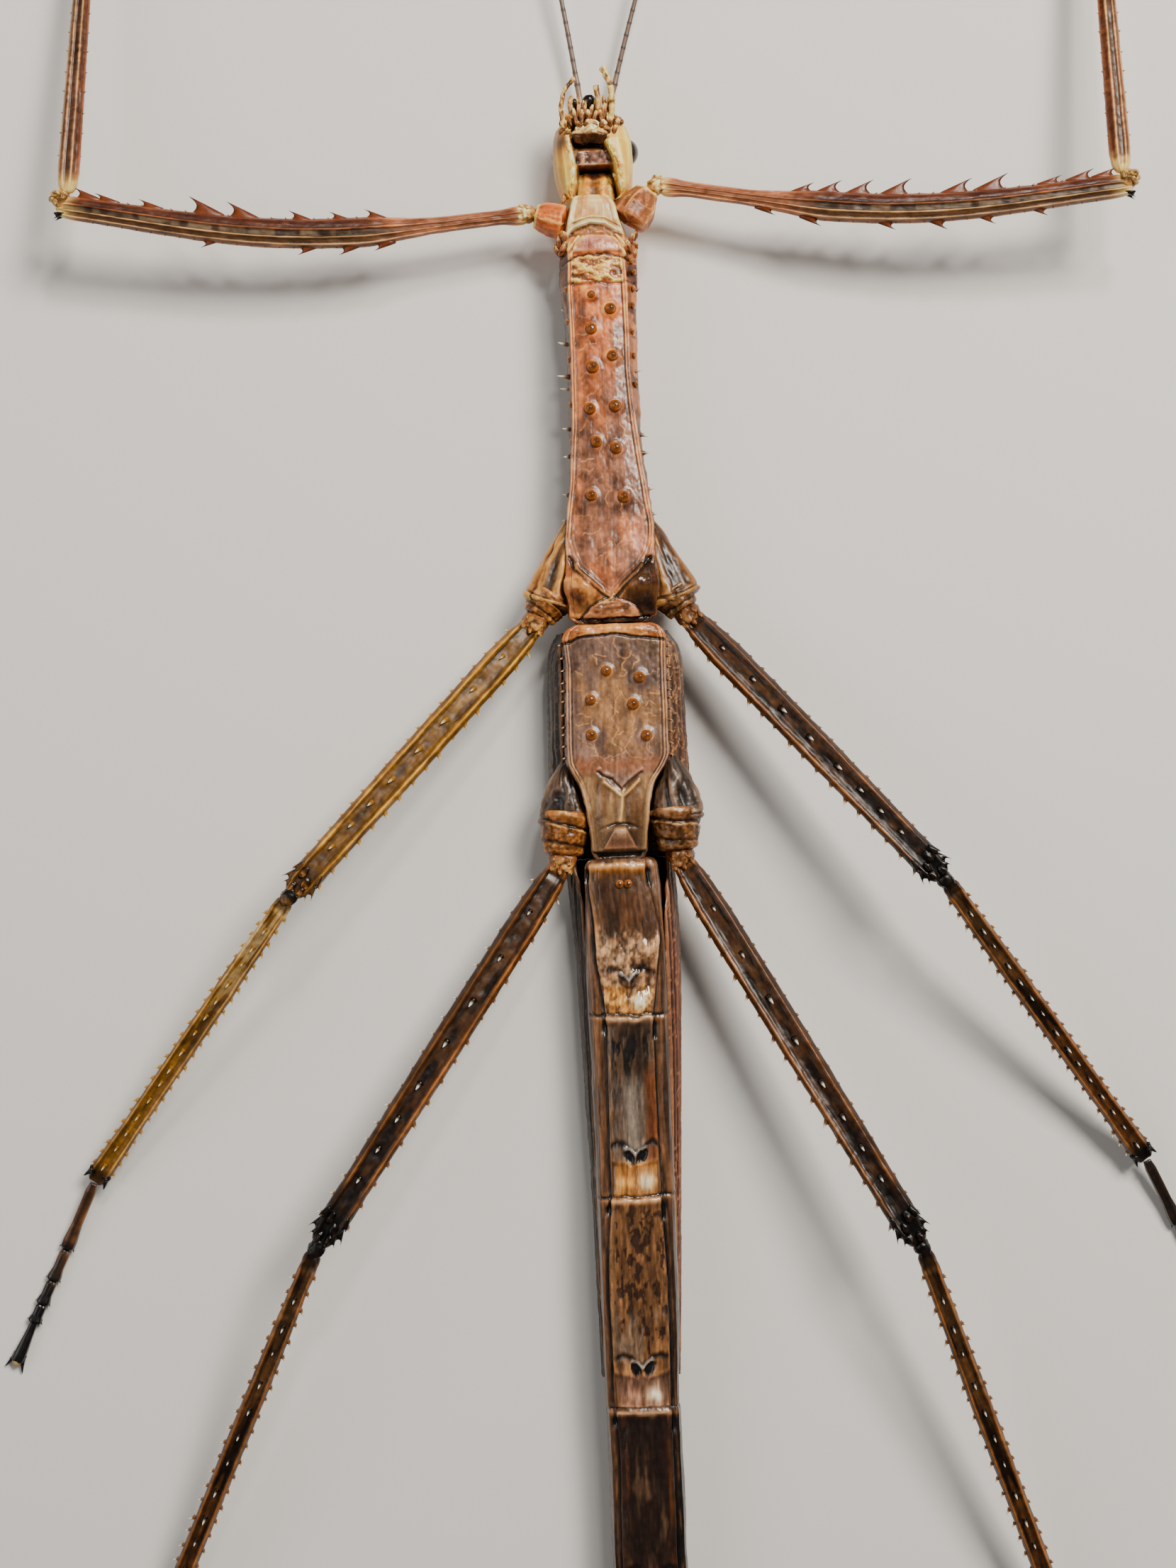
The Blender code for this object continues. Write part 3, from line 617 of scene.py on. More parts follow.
def trunk(places, section):
    """The points of a section (X, Z) set out along Y."""
    points = np.empty((*section.shape[:2], 3))
    points[..., 0], points[..., 1], points[..., 2] = section[..., 0], places[:, None], section[..., 1]
    return points


def close_ends(points, places, front, back, least=0.72):
    """Rounds the rim at each end of a trunk piece over so many mm."""
    share = np.ones(len(places))
    for depth, size in ((places[0] - places, front), (places - places[-1], back)):
        bend = np.sqrt(np.clip(1 - (1 - np.clip(depth / size, 0, 1)) ** 2, 0, 1))
        share *= least + (1 - least) * bend
    middle = points.mean(axis=1, keepdims=True)
    return middle + (points - middle) * share[:, None, None]


def side_corners(s, plate, outer, belly, back, ridge, extra):
    """The corners from the plate's edge round one flank to the back."""
    return [
        (plate - s * 0.45, belly + 0.02), (plate - s * 0.18, belly - 0.05), (plate, belly + 0.15 * ridge),
        (plate + s * 0.18, belly - 0.02 * ridge), (plate + s * 0.34, belly + 0.05 * ridge),
        (plate + s * 0.52, belly - 0.3), (outer - s * 0.16, belly - 1.5 - extra),
        (outer, belly - 3.2 - extra), (outer - s * 0.3, back + 1.8), (outer - s * 1.3, back + 0.25),
    ]


SIDE_COUNTS = (4, 3, 3, 3, 3, 6, 6, 7, 6)


def closed_section(plate_l, plate_r, out_l, out_r, belly, back, ridge, crown=0.22, extra=0.0):
    """A trunk section: a flat plate with a double ridge at each edge, flanks and back."""
    middle = (plate_l + plate_r) / 2
    right = side_corners(1, plate_r, out_r, belly, back, ridge, extra)
    left = side_corners(-1, plate_l, out_l, belly, back, ridge, extra)
    corners = [(middle, belly + crown), (middle + 0.55 * (plate_r - middle), belly + crown * 0.8)]
    corners += right + [((middle + out_r) / 2, back), (middle, back - 0.05), ((middle + out_l) / 2, back)]
    corners += left[::-1] + [(middle + 0.55 * (plate_l - middle), belly + crown * 0.8)]
    counts = (24, 18, *SIDE_COUNTS, 5, 6, 6, 5, *SIDE_COUNTS[::-1], 18, 24)
    return ring(corners, counts, 0.8)


def paint_ridges(colours, x, y, plate_l, plate_r, where, bands, seed):
    """The double ridge along each plate edge, its pale partly a painted highlight, and the dark groove in it.
    bands are three (width, weight).
    """
    rim = np.minimum(np.abs(x - plate_l[:, None]), np.abs(x - plate_r[:, None]))
    patchy = 0.65 + 0.35 * noise(x * 0.5, y * 0.9, seed=seed)
    (edge, strong), (inner, faint), (groove, deep) = bands
    return layer(
        colours,
        (CARINA_AND_HIGHLIGHT, where * bump(rim, edge) * strong * patchy),
        (CARINA_AND_HIGHLIGHT, where * bump(rim - 0.34, inner) * faint * patchy),
        ((0.10, 0.04, 0.02, 0.35), where * bump(rim - 0.19, groove) * deep),
    )


def knobs(bag, places):
    """Round amber knobs at (X, Y, radius)."""
    for i, (x, y, radius) in enumerate(places):
        z = table(BELLY, y) + 0.12
        # the knobs' darker lower halves are painted shade
        bag.dome((x, y, z + 0.1), (radius * 0.86, radius * 0.84, radius * 1.0), KNOB, axis=(0.12, 0.12, 1),
                 rows=18, columns=26, low=(0.15, 0.06, 0.02, 0.3), rough=0.05, seed=i)


def mounds(x, y, places):
    """The low skirts on which the knobs stand."""
    return sum(0.22 * np.exp(-(((x - kx) ** 2 + (y - ky) ** 2) / (1.15 * r) ** 2) ** 2)
               for kx, ky, r in places)


MESO_CRACKS = cracks_from(0, ((-2.6, 47.4, -20, 3.2), (-0.6, 47.6, 20, 2.6), (0.8, 47.2, -25, 2.4),
                              (-2.4, 44.4, 25, 2.2), (-2.7, 42.4, 15, 1.8), (-0.4, 41.9, 5, 3.0),
                              (-2.8, 40.6, 10, 2.6), (0.2, 40.9, -60, 3.4), (-0.9, 40.2, 100, 2.2),
                              (1.4, 41.6, -20, 1.6), (-2.7, 37.4, 20, 2.0), (-1.9, 35.2, 60, 3.0),
                              (-0.4, 35.4, 80, 3.6), (0.3, 32.8, -80, 4.8), (-0.5, 31.6, -100, 3.6),
                              (1.7, 32.2, -70, 3.6), (-2.9, 31.4, 5, 2.0), (-3.0, 28.3, 15, 2.2),
                              (-3.1, 27.0, 10, 2.0), (2.5, 37.6, 170, 1.6), (2.4, 30.6, -150, 1.8),
                              (-2.6, 25.4, 25, 2.4), (2.9, 27.2, 200, 2.0), (0.0, 25.8, -90, 3.6),
                              (1.6, 21.4, 70, 2.4), (-2.9, 19.6, 20, 2.8), (-1.8, 18.6, 60, 2.2),
                              (-0.9, 18.9, -50, 2.6), (0.3, 19.6, -60, 2.8), (1.6, 19.2, -110, 2.4),
                              (0.4, 17.6, 30, 2.2), (2.6, 18.8, -140, 2.6), (-1.6, 16.9, 0, 2.8),
                              (-0.6, 16.2, 40, 2.0), (1.4, 16.3, 150, 1.8), (3.2, 21.3, -120, 2.2),
                              (-3.4, 21.8, -40, 2.0)))
MESO_STREAKS = (((-2.15, 47.2), (-2.05, 38), (-2.3, 29), (-3.1, 20)),
                ((2.15, 46.8), (2.05, 38), (2.5, 29), (3.5, 20.4)), ((0.15, 46.5), (0.25, 39)),
                ((-0.2, 29), (0.1, 21)), ((1.2, 28.5), (1.7, 20.5)), ((-1.3, 23), (-1.7, 18)))


def make_mesothorax():
    """The long middle thorax: knobbed plate, gold band in front, bulge, lobes and triangle behind."""
    bag = Bag()
    y = np.linspace(53.7, 9.75, 370)
    out_l, out_r, plate_l, plate_r = (
        blur(along(line, y), 5) for line in (MESO_OUT_L, MESO_OUT_R, PLATE_L, PLATE_R))
    belly, back = table(BELLY, y), table(BACK, y)
    ridge = step(18.8, 20.5, y) * (1 - step(50.2, 51.5, y))
    extra = 0.5 * (1 - step(12, 22, y))
    section = closed_section(plate_l, plate_r, out_l, out_r, belly, back, ridge, extra=extra)
    points = close_ends(trunk(y, section), y, 1.3, 1.1)
    X, Y, Z = (points[..., i] for i in range(3))
    up = step(0.2, 0.6, normals(points)[..., 2])
    inside = between(X, plate_l, plate_r, 0.25, 0.5) * up
    wavy = Y + 0.22 * noise(X * 0.9, Y * 0.9, seed=13)
    main = inside * window(wavy, 19.5, 47.8, 0.4)

    # relief
    relief = 0.06 * noise(X * 0.6, Y * 0.35, Z * 0.7, 11) + 0.02 * noise(X * 3, Y * 2.4, Z * 3, 12, 2)
    cracks = strokes(X, Y, MESO_CRACKS, 0.06) * inside * (0.55 + 0.45 * noise(X * 0.8, Y * 0.8, seed=17))
    crooked = X + 0.14 * noise(0 * X, Y * 0.8, seed=53)
    streaks = strokes(crooked, Y, MESO_STREAKS, 0.1) * inside
    relief += 0.02 * cracks + mounds(X, Y, MESO_KNOBS) * up
    band = window(wavy, 48.2, 51.1, 0.2) * up * between(X, plate_l, plate_r, -0.2, 0.1)
    folds = noise(X * 1.1, Y * 2.1 + 0.3 * X, seed=31, octaves=4)
    relief += band * (0.17 * folds + 0.05)
    relief -= up * 0.2 * bump(wavy - 51.3 + 0.05 * X**2, 0.16) + 0.1 * up * bump(wavy - 48.1, 0.2)
    shield = up * step(51.5, 51.9, Y) * (1 - step(1.2, 1.6, np.abs(X + 0.05) - 0.9 * (53.4 - Y)))
    relief += (0.2 + 0.04 * noise(X * 0.9, Y * 0.9, seed=32)) * shield
    frame_lines = (((-1.6, 53.4), (-2.4, 52.6), (-3.1, 51.3)), ((1.6, 53.4), (2.3, 52.7), (3.0, 51.3)),
                   ((-2.0, 53.6), (-3.3, 52.0)), ((2.1, 53.6), (3.3, 52.0)))
    frame_edge = up * strokes(X, Y, frame_lines, 0.17)
    relief += 0.2 * frame_edge
    near_bulge = line_distance(X + 0.12 * noise(X, Y, seed=14), Y, BULGE)
    rear = up * (1 - step(20.5, 21.5, Y))
    relief += 0.08 * rear * bump(near_bulge, 0.2) + 0.04 * rear * bump(near_bulge - 0.36, 0.1)
    bulge_edge = table(BULGE[2:9], X)
    behind = rear * step(0.1, 0.5, bulge_edge - Y)
    groove = behind * bump(near_bulge - 0.6, 0.22)
    relief -= 0.22 * groove
    for x0, y0 in ((-3.1, 13.9), (3.3, 13.9)):
        relief += 1.5 * behind * np.exp(-((((X - x0) / 1.75) ** 2 + ((Y - y0) / 1.8) ** 2) ** 1.3))
    relief += behind * 0.09 * noise(X * 1.1, Y * 1.1, seed=15)
    apex = np.clip(12.6 - Y, 0, 9)
    spread = np.abs(X - 0.05 + 0.2 * noise(X, Y, seed=16))
    triangle = (behind * step(-0.2, 0.2, 4.0 * (1 - np.exp(-apex / 1.1)) * 0.98 - spread)
                * step(10.1, 10.35, Y) * (Y < 12.6))
    edge = np.abs(4.0 * (1 - np.exp(-apex / 1.1)) * 0.98 - spread) * (Y < 12.7) + 9.0 * (Y >= 12.7)
    relief += behind * (0.22 * triangle - 0.22 * bump(edge, 0.24) * (1 - triangle * 0.6))
    relief += 0.1 * triangle * noise(X * 0.6, Y * 2.6, seed=61)
    stem = ((0.0, 14.3), (0.05, 13.4), (0.0, 12.4))
    relief += 0.24 * behind * strokes(X, Y, (stem,), 0.2)
    relief -= 0.45 * up * bump(wavy - 10.05, 0.22)
    side = 1 - step(0.35, 0.75, up)
    relief += side * 0.12 * noise(X * 0.4, Y * 0.9, Z * 0.9, 41)
    relief += side * 0.06 * np.sin(Z * 3.1 + 1.4 * noise(X, Y * 0.4, 0, 42)) * step(2.5, 3.5, Z)

    # tints
    grey = step(-0.25, 0.4, noise(X * 0.5, Y * 0.2, seed=51) + 0.5 * bump(Y - 26, 9) - 0.3 * step(36, 46, Y))
    warm = mix((0.66, 0.29, 0.13, 0.32), (0.88, 0.34, 0.12, 0.32), step(30, 46, Y + X))
    colours = mix(warm, (0.40, 0.225, 0.155, 0.24), grey * 0.9)
    colours = shade(colours, 1.0 + 0.6 * noise(X * 1.1, Y * 0.8, seed=52, octaves=4))
    colours = mix(colours, (0.62, 0.34, 0.18, 0.3), streaks * 0.45)
    for place, tone, amount in (((-1.9, 43.0, 1.2, 3.2), 0.45, 0.8), ((-1.6, 37.5, 1.3, 3.0), 0.5, 0.6),
                                ((-2.0, 30.0, 1.2, 4), 0.55, 0.6), ((0.4, 25.5, 1.3, 3.6), 0.6, 0.5),
                                ((-2.5, 22.0, 1.3, 2.5), 0.55, 0.6), ((2.6, 24.5, 0.9, 3), 0.6, 0.5)):
        patch = spot(X - place[0], Y - place[1], *place[2:])
        colours = shade(colours, 1 - (1 - tone) * amount * patch * inside)
    colours = mix(colours, (0.78, 0.46, 0.22, 0.32),
                  np.clip(cracks * 1.2, 0, 1) * (main + (1 - main) * 0.9) * 0.7)
    # the band's gold is lighter on fold crests and darker in the troughs: painted light and shade
    gold = mix((0.42, 0.18, 0.05, 0.32), (0.90, 0.47, 0.16, 0.3), step(-0.45, 0.3, folds))
    colours = layer(
        colours,
        (gold, band),
        (shade((0.56, 0.30, 0.21, 0.26), 1 + 0.3 * noise(X * 0.8, Y * 0.8, seed=33)), shield),
        ((0.30, 0.13, 0.09, 0.24), shield * bump(Y - 52.3, 0.7) * bump(X + 0.9, 1.0) * 0.85),
        ((0.72, 0.45, 0.2, 0.3), frame_edge * 0.8),
        (DARK, up * 0.8 * bump(wavy - 51.3 + 0.05 * X**2, 0.14)),
    )
    colours = paint_ridges(colours, X, Y, plate_l, plate_r, ridge[:, None] * up,
                           ((0.12, 0.6), (0.08, 0.3), (0.07, 0.45)), 59)
    out = ((1 - step(0.3, 0.45, np.minimum(X - plate_l[:, None], plate_r[:, None] - X) + 0.8))
           * step(18.5, 20.5, Y))
    strip = mix((0.17, 0.085, 0.045, 0.36), (0.42, 0.2, 0.085, 0.34), step(0, 2, X) * step(26, 44, Y))
    strip = shade(strip, 1 + 0.5 * noise(X * 0.9, Y * 0.5, Z * 0.8, 54))
    outer = np.clip(np.maximum(out, side), 0, 1)
    colours = mix(colours, strip, outer)
    spots = step(0.2, 0.45, noise(X * 0.5, Y * 1.0, Z * 0.6, 55, 2)) * outer
    colours = mix(colours, (0.07, 0.025, 0.012, 0.3), spots * 0.8)
    lobe = mix((0.44, 0.235, 0.095, 0.2), (0.30, 0.14, 0.06, 0.2),
               step(-0.3, 0.4, noise(X * 0.7, Y * 0.7, seed=56)))
    # the lobe on the right is darkened as painted shadow
    lobe = shade(lobe, (1 - 0.74 * step(0.5, 3, X)) * (1 + 0.3 * noise(X * 1.2, Y * 1.2, seed=57)))
    colours = layer(
        colours,
        (lobe, behind),
        (shade((0.36, 0.19, 0.10, 0.26), 1 + 0.5 * noise(X * 1.2, Y * 2.4, seed=58)), triangle),
        (DARK, behind * (0.7 * bump(edge, 0.16) + 0.5 * groove)),
    )
    # painted highlights along the bulge's ridge lines
    bulge_highlight = rear * (0.55 + 0.45 * noise(X * 1.3, Y * 1.3, seed=60))
    colours = layer(
        colours,
        ((0.60, 0.36, 0.16, 0.26), bulge_highlight * 0.5 * bump(near_bulge, 0.12)),
        ((0.52, 0.32, 0.13, 0.26), bulge_highlight * 0.4 * bump(near_bulge - 0.36, 0.1)),
        ((0.70, 0.46, 0.2, 0.26), behind * strokes(X, Y, (stem, ((0.0, 12.4), (-1.0, 11.9))), 0.14)),
        (BLACK, up * 0.9 * step(-10.25, -9.95, -wavy)),
        (shade(strip, 0.8), step(0.2, 0.6, -normals(points)[..., 2])),
    )
    bag.tube(points, colours, relief, streak=0.12)
    knobs(bag, MESO_KNOBS)
    for i, (x0, y0, x1, y1) in enumerate(SPINES_L + SPINES_R):
        z = 5.9 + 0.5 * (i % 3)
        bag.spike((x0 * 0.95, y0, z), (x1, y1, z + 0.25), 0.3, (0.2, 0.09, 0.04, 0.4), TIP, hook=(0, 0.1, 0))
    for i, (x, y0) in enumerate(((3.75, 50.6), (4.0, 49.3), (3.9, 47.5), (3.75, 45.6), (3.6, 42.6),
                                 (3.7, 39.9), (3.75, 36.6), (-3.75, 47.6), (-3.7, 44.0), (-3.65, 39.7),
                                 (-3.7, 34.6), (-3.8, 30.4))):
        bag.dome((x, y0, table(BELLY, y0) - 0.75), (0.26, 0.36, 0.42), (0.42, 0.2, 0.07, 0.25), rows=9,
                 columns=12, low=(0.08, 0.03, 0.015, 0.3), rough=0.15, seed=i)
    make_flares(bag, "mid")
    piece("mesothorax_shell", bag, PLATES, ["mesothorax"])


FLARES = {
    "mid": ((-1, ((-4.2, 21.6, 6.0), (-4.9, 18.8, 6.1), (-5.9, 15.6, 6.2), (-6.8, 12.9, 6.2),
                  (-7.1, 12.1, 6.2))),
            (1, ((4.4, 21.4, 6.0), (5.2, 18.8, 6.1), (6.15, 15.6, 6.2), (7.0, 12.9, 6.2), (7.3, 12.1, 6.2)))),
    "hind": ((-1, ((-5.5, -5.4, 5.8), (-6.0, -8.0, 6.0), (-6.2, -10.2, 6.0), (-6.3, -12.0, 6.0),
                   (-6.3, -12.7, 6.0))),
             (1, ((5.9, -5.4, 5.8), (6.4, -8.0, 6.0), (6.5, -10.2, 6.0), (6.6, -12.0, 6.0),
                  (6.6, -12.7, 6.0)))),
}
FLARE_SIZES = {  # share of the way, half width, half depth
    "mid": ((0, 0.5, 1.1), (0.2, 1.2, 1.8), (0.5, 2.2, 2.2), (0.8, 2.95, 2.4), (0.95, 3.0, 2.4),
            (1.0, 2.2, 1.9)),
    "hind": ((0, 0.5, 1.0), (0.15, 1.1, 1.7), (0.4, 2.2, 2.2), (0.8, 2.85, 2.4), (0.95, 2.85, 2.4),
             (1, 2.1, 1.9)),
}
FLARE_TINTS = {  # the folds, and their lit crests
    "mid": ((0.29, 0.145, 0.05, 0.32), (0.56, 0.34, 0.13, 0.32)),
    "hind": ((0.085, 0.055, 0.038, 0.36), (0.22, 0.155, 0.11, 0.34)),
}


def make_flares(bag, kind):
    """The folded fans that reach from the trunk to the coxae."""
    mid = kind == "mid"
    sizes = FLARE_SIZES[kind]
    base, lit = FLARE_TINTS[kind]
    for sign, route in FLARES[kind]:
        share = np.linspace(0, 1, 100)
        centre = smooth_route(route, share, 6)
        wide, deep = (blur(v, 5) for v in table(sizes, share))
        side = sides_of(centre)[0] * -sign  # towards the outside of the body
        a = turns(100)
        x, z = np.cos(a), np.sin(a)
        flat = np.sign(z) * np.abs(z) ** 0.75
        points = (centre[:, None] + side[:, None] * (x * wide[:, None])[..., None]
                  + np.array([0, 0, 1.0]) * (flat * deep[:, None])[..., None])
        s = share[:, None] + 0 * a
        seed = 71 + sign + (4 if mid else 0)
        drift = x * 1.7 + 0.8 * noise(s * 2.2, x + 0 * s, z, seed)
        folds = 1 - np.abs(noise(drift, s * 0.9, 0.5, seed + 1, 3)) * 2.2  # ridged, so creases are sharp
        folds = np.clip(folds, -1, 1)
        rim = bump(x - 0.97, 0.16) * step(-0.3, 0.2, z)
        cuff = bump(s - 0.9 + 0.03 * np.sin(a * 3), 0.035)
        cut = bump(s - 0.82 + 0.03 * np.sin(a * 3 + 1), 0.03)
        hollow = bump(x - 0.25, 0.3) * step(0, 0.4, z) * window(s, 0.35, 0.8, 0.12)
        relief = (0.2 * folds * step(0.05, 0.35, s) * (1 - 0.6 * cuff) + 0.2 * rim + 0.08 * cuff - 0.14 * cut
                  - 0.4 * hollow)
        relief += 0.08 * noise(s * 9, x * 3, z * 3, seed + 2)
        if sign > 0 and mid:
            base, lit = shade(base, 0.6), shade(lit, 0.66)
        colours = mix(base, lit, step(0.2, 0.95, folds) * 0.8)
        colours = layer(
            colours,
            (lit, np.clip(rim * 0.4 + cuff * 0.3, 0, 1)),
            # painted shade in the hollow, the cut and the fold troughs
            ((0.04, 0.02, 0.01, 0.35), np.clip(hollow * 0.7 + cut * 0.5, 0, 1)),
            ((0.03, 0.015, 0.008, 0.35), (1 - step(-0.6, 0.0, folds)) * 0.4),
        )
        bag.tube(points, colours, relief)


META_PLATE_L = ((-4.6, 9.4), (-5.0, 8.6), (-5.3, 8.15), (-5.13, 6.95), (-4.97, 4.95), (-5.1, 0.17),
                (-5.2, -3.8), (-5.16, -6.05), (-4.57, -7.2), (-3.98, -8.4), (-3.56, -9.9), (-3.2, -12),
                (-2.9, -14.5), (-2.8, -17.3))
META_PLATE_R = ((4.8, 9.4), (5.2, 8.6), (5.45, 7.7), (5.36, 6.1), (5.32, 2.95), (5.35, -0.25), (5.31, -3.4),
                (5.31, -5.4), (4.7, -6.6), (3.77, -7.9), (3.3, -8.9), (2.9, -11), (2.5, -14.5), (2.4, -17.3))
META_CRACKS = cracks_from(100, ((-1.6, 7.9, -60, 1.6), (-0.9, 5.9, 160, 1.4), (-1.9, 5.0, 100, 1.4),
                                (0.1, 7.9, -90, 6.2), (0.2, 2.6, -90, 5.0), (0.15, -2.2, -90, 4.6),
                                (1.2, 5.6, 60, 1.4), (1.8, 6.2, -30, 1.4), (2.5, 5.8, -90, 2.0),
                                (-3.9, 2.2, 180, 1.2), (-3.6, 1.2, 20, 1.6), (-2.0, 0.7, 170, 1.6),
                                (-4.4, -0.6, 0, 1.8), (-4.6, -1.6, 10, 1.6), (-2.7, -1.2, -80, 1.6),
                                (-2.4, -3.4, -95, 4.0), (-3.9, -3.6, -60, 1.8), (2.0, -0.2, -80, 3.4),
                                (2.2, -2.4, -100, 4.2), (3.5, -3.6, -100, 3.2), (3.9, 1.6, -10, 1.4),
                                (3.4, 0.2, 10, 1.6), (4.5, -1.0, 185, 1.6), (1.2, 0.9, 140, 1.6),
                                (-0.6, 0.4, -50, 1.4), (0.7, -2.6, 200, 1.6), (-4.4, 4.4, -30, 1.2),
                                (4.4, 4.2, 200, 1.4), (-3.0, -5.2, -20, 2.6), (1.4, -5.4, -30, 2.2),
                                (-1.4, -5.6, 20, 2.6), (4.2, -2.8, -110, 2.6), (-4.3, -3.0, -70, 2.4)))


def make_metathorax():
    """The hind thorax: a knobbed plate with a raised front rim and a notched rear one, and a small lobe."""
    bag = Bag()
    y = np.linspace(9.55, -17.1, 330)
    plate_l, plate_r = (blur(along(line, y), 4) for line in (META_PLATE_L, META_PLATE_R))
    spread = table(((9.5, 0.15), (8, 0.6), (6.5, 0.85), (-6.0, 0.85), (-8.5, 0.7), (-17.3, 0.55)), y)
    belly, back = table(BELLY, y), table(BACK, y)
    ridge = window(y, -8.2, 8.4, 0.6)
    section = closed_section(plate_l, plate_r, plate_l - spread, plate_r + spread, belly, back, ridge, 0.15)
    points = close_ends(trunk(y, section), y, 0.9, 1.4)
    X, Y, Z = (points[..., i] for i in range(3))
    facing = normals(points)[..., 2]
    up = step(0.2, 0.6, facing)
    inside = between(X, plate_l, plate_r, 0.2, 0.45) * up
    wavy = Y + 0.2 * noise(X * 0.8, Y * 0.8, seed=113)
    relief = 0.05 * noise(X * 0.6, Y * 0.5, Z * 0.6, 111) + 0.02 * noise(X * 3, Y * 2.4, Z * 3, 112, 2)
    rim_band = up * step(8.3, 8.55, wavy + 0.02 * X**2)
    relief += ((0.16 + 0.06 * noise(X * 0.8, Y * 2, seed=114)) * rim_band
               - 0.2 * up * bump(wavy + 0.02 * X**2 - 8.25, 0.14))
    plate = inside * window(wavy, -7.6, 8.1, 0.3)
    cracks = strokes(X, Y, META_CRACKS, 0.065) * plate * (0.6 + 0.4 * noise(X * 0.8, Y * 0.8, seed=117))
    relief += 0.02 * cracks + up * mounds(X, Y, META_KNOBS)
    notch = ((-2.2, -7.0), (-1.79, -7.38), (-0.7, -8.0), (0.3, -9.06), (1.3, -8.1), (2.2, -7.46), (2.6, -7.2))
    near_notch = line_distance(X, Y + 0.1 * noise(X * 1.4, Y, seed=115), notch)
    notch_y = table(notch, X)
    behind = up * step(0.0, 0.4, notch_y - Y) * step(6.9, 7.6, -Y)
    relief += up * (0.08 * bump(line_distance(X, Y - 0.25, notch), 0.25) - 0.15 * bump(near_notch, 0.22))
    stem = strokes(X, Y, (((0.45, -9.2), (0.3, -10.8), (0.0, -12.7)), ((-1.6, -8.2), (0.35, -9.9)),
                          ((2.2, -8.2), (0.4, -9.9))), 0.22)
    relief += 0.16 * up * stem
    for x0 in (-1.55, 1.75):
        swelling = ((X - x0) / 0.85) ** 2 + ((Y + 11.2) / 2.6) ** 2
        relief += 0.22 * behind * np.exp(-swelling)
        relief -= 0.06 * behind * bump(np.sqrt(swelling) - 1.35, 0.35)
    shape_l, shape_r = along(((-0.75, -13.4), (-2.4, -16.2)), Y), along(((0.75, -13.4), (2.1, -16.2)), Y)
    small = (up * step(-0.1, 0.25, X - shape_l) * step(-0.1, 0.25, shape_r - X) * step(13.2, 13.6, -Y)
             * (1 - step(15.6, 16.0, -Y)))
    cap = up * bump(np.hypot(X, Y + 13.9), 0.9)
    relief += 0.3 * small + 0.4 * cap
    relief -= 0.35 * up * bump(Y + 13.0 + 0.1 * X * X, 0.25) * bump(X, 1.6)
    relief -= 0.5 * up * step(15.9, 16.6, -Y)
    side = 1 - step(0.35, 0.75, up)
    relief += side * 0.12 * noise(X * 0.4, Y * 0.9, Z * 0.9, 141)

    grey = step(-0.45, 0.35, noise(X * 0.4, Y * 0.3, seed=151))
    colours = mix((0.42, 0.26, 0.145, 0.3), (0.32, 0.22, 0.175, 0.26), grey)
    colours = shade(colours, (1.05 + 0.45 * noise(X * 1.1, Y * 0.6, seed=152)) * (1 - 0.25 * step(1, 6, Y))
                    * (1 - 0.2 * step(3.2, 4.6, np.abs(X))))
    colours = layer(
        colours,
        ((0.74, 0.44, 0.21, 0.3), np.clip(cracks * 1.2, 0, 1) * 0.7),
        ((0.42, 0.2, 0.1, 0.3), plate * bump(Y + 6.4, 1.0) * 0.7),
        (shade((0.46, 0.24, 0.095, 0.22), 1 + 0.3 * noise(X * 0.9, Y * 3, seed=156)), rim_band),
        ((0.3, 0.13, 0.04, 0.24), rim_band * step(3, 4.6, np.abs(X))),
        (DARK, up * 0.7 * bump(wavy + 0.02 * X**2 - 8.25, 0.12)),
    )
    fade = window(Y, -10.5, 8.6, 0.8)
    colours = paint_ridges(colours, X, Y, plate_l, plate_r, fade * up,
                           ((0.13, 0.7), (0.09, 0.4), (0.07, 0.7)), 159)
    dull = mix((0.46, 0.31, 0.18, 0.28), (0.28, 0.17, 0.09, 0.3),
               step(-0.2, 0.5, noise(X * 0.6, Y * 0.35, seed=154)))
    dull = shade(dull, 1 - 0.45 * step(9, 15, -Y))
    colours = layer(
        colours,
        (dull, behind),
        ((0.11, 0.045, 0.03, 0.3), up * bump(near_notch, 0.17) * 0.5),
        ((0.56, 0.38, 0.18, 0.24), behind * stem * 0.6),
        ((0.25, 0.145, 0.09, 0.27), small),
        # pale cap on the small lobe: painted highlight
        ((0.50, 0.36, 0.25, 0.24), cap * 0.5),
        (BLACK, up * step(15.7, 16.2, -Y) * 0.9),
    )
    strip = shade((0.19, 0.11, 0.065, 0.36), 0.8 + 0.5 * noise(X * 0.9, Y * 0.7, Z * 0.8, 155))
    colours = mix(colours, strip, side)
    bag.tube(points, colours, relief, streak=0.12)
    knobs(bag, META_KNOBS)
    for sign, edge in ((-1, plate_l), (1, plate_r)):
        for i in range(11):
            place = 7.2 - 1.25 * i + 0.3 * float(noise(i * 3.3, sign, 0.5, 116, 1))
            x = np.interp(-place, -y, edge) + sign * 0.62
            bag.spike((x, place, 8.1), (x + sign * 0.42, place - 0.12, 8.55), 0.2, (0.25, 0.12, 0.06, 0.4),
                      (0.6, 0.5, 0.36, 0.3))
    make_flares(bag, "hind")
    piece("metathorax_shell", bag, PLATES, ["metathorax"])


# ---------------------------------------------------------------- abdomen

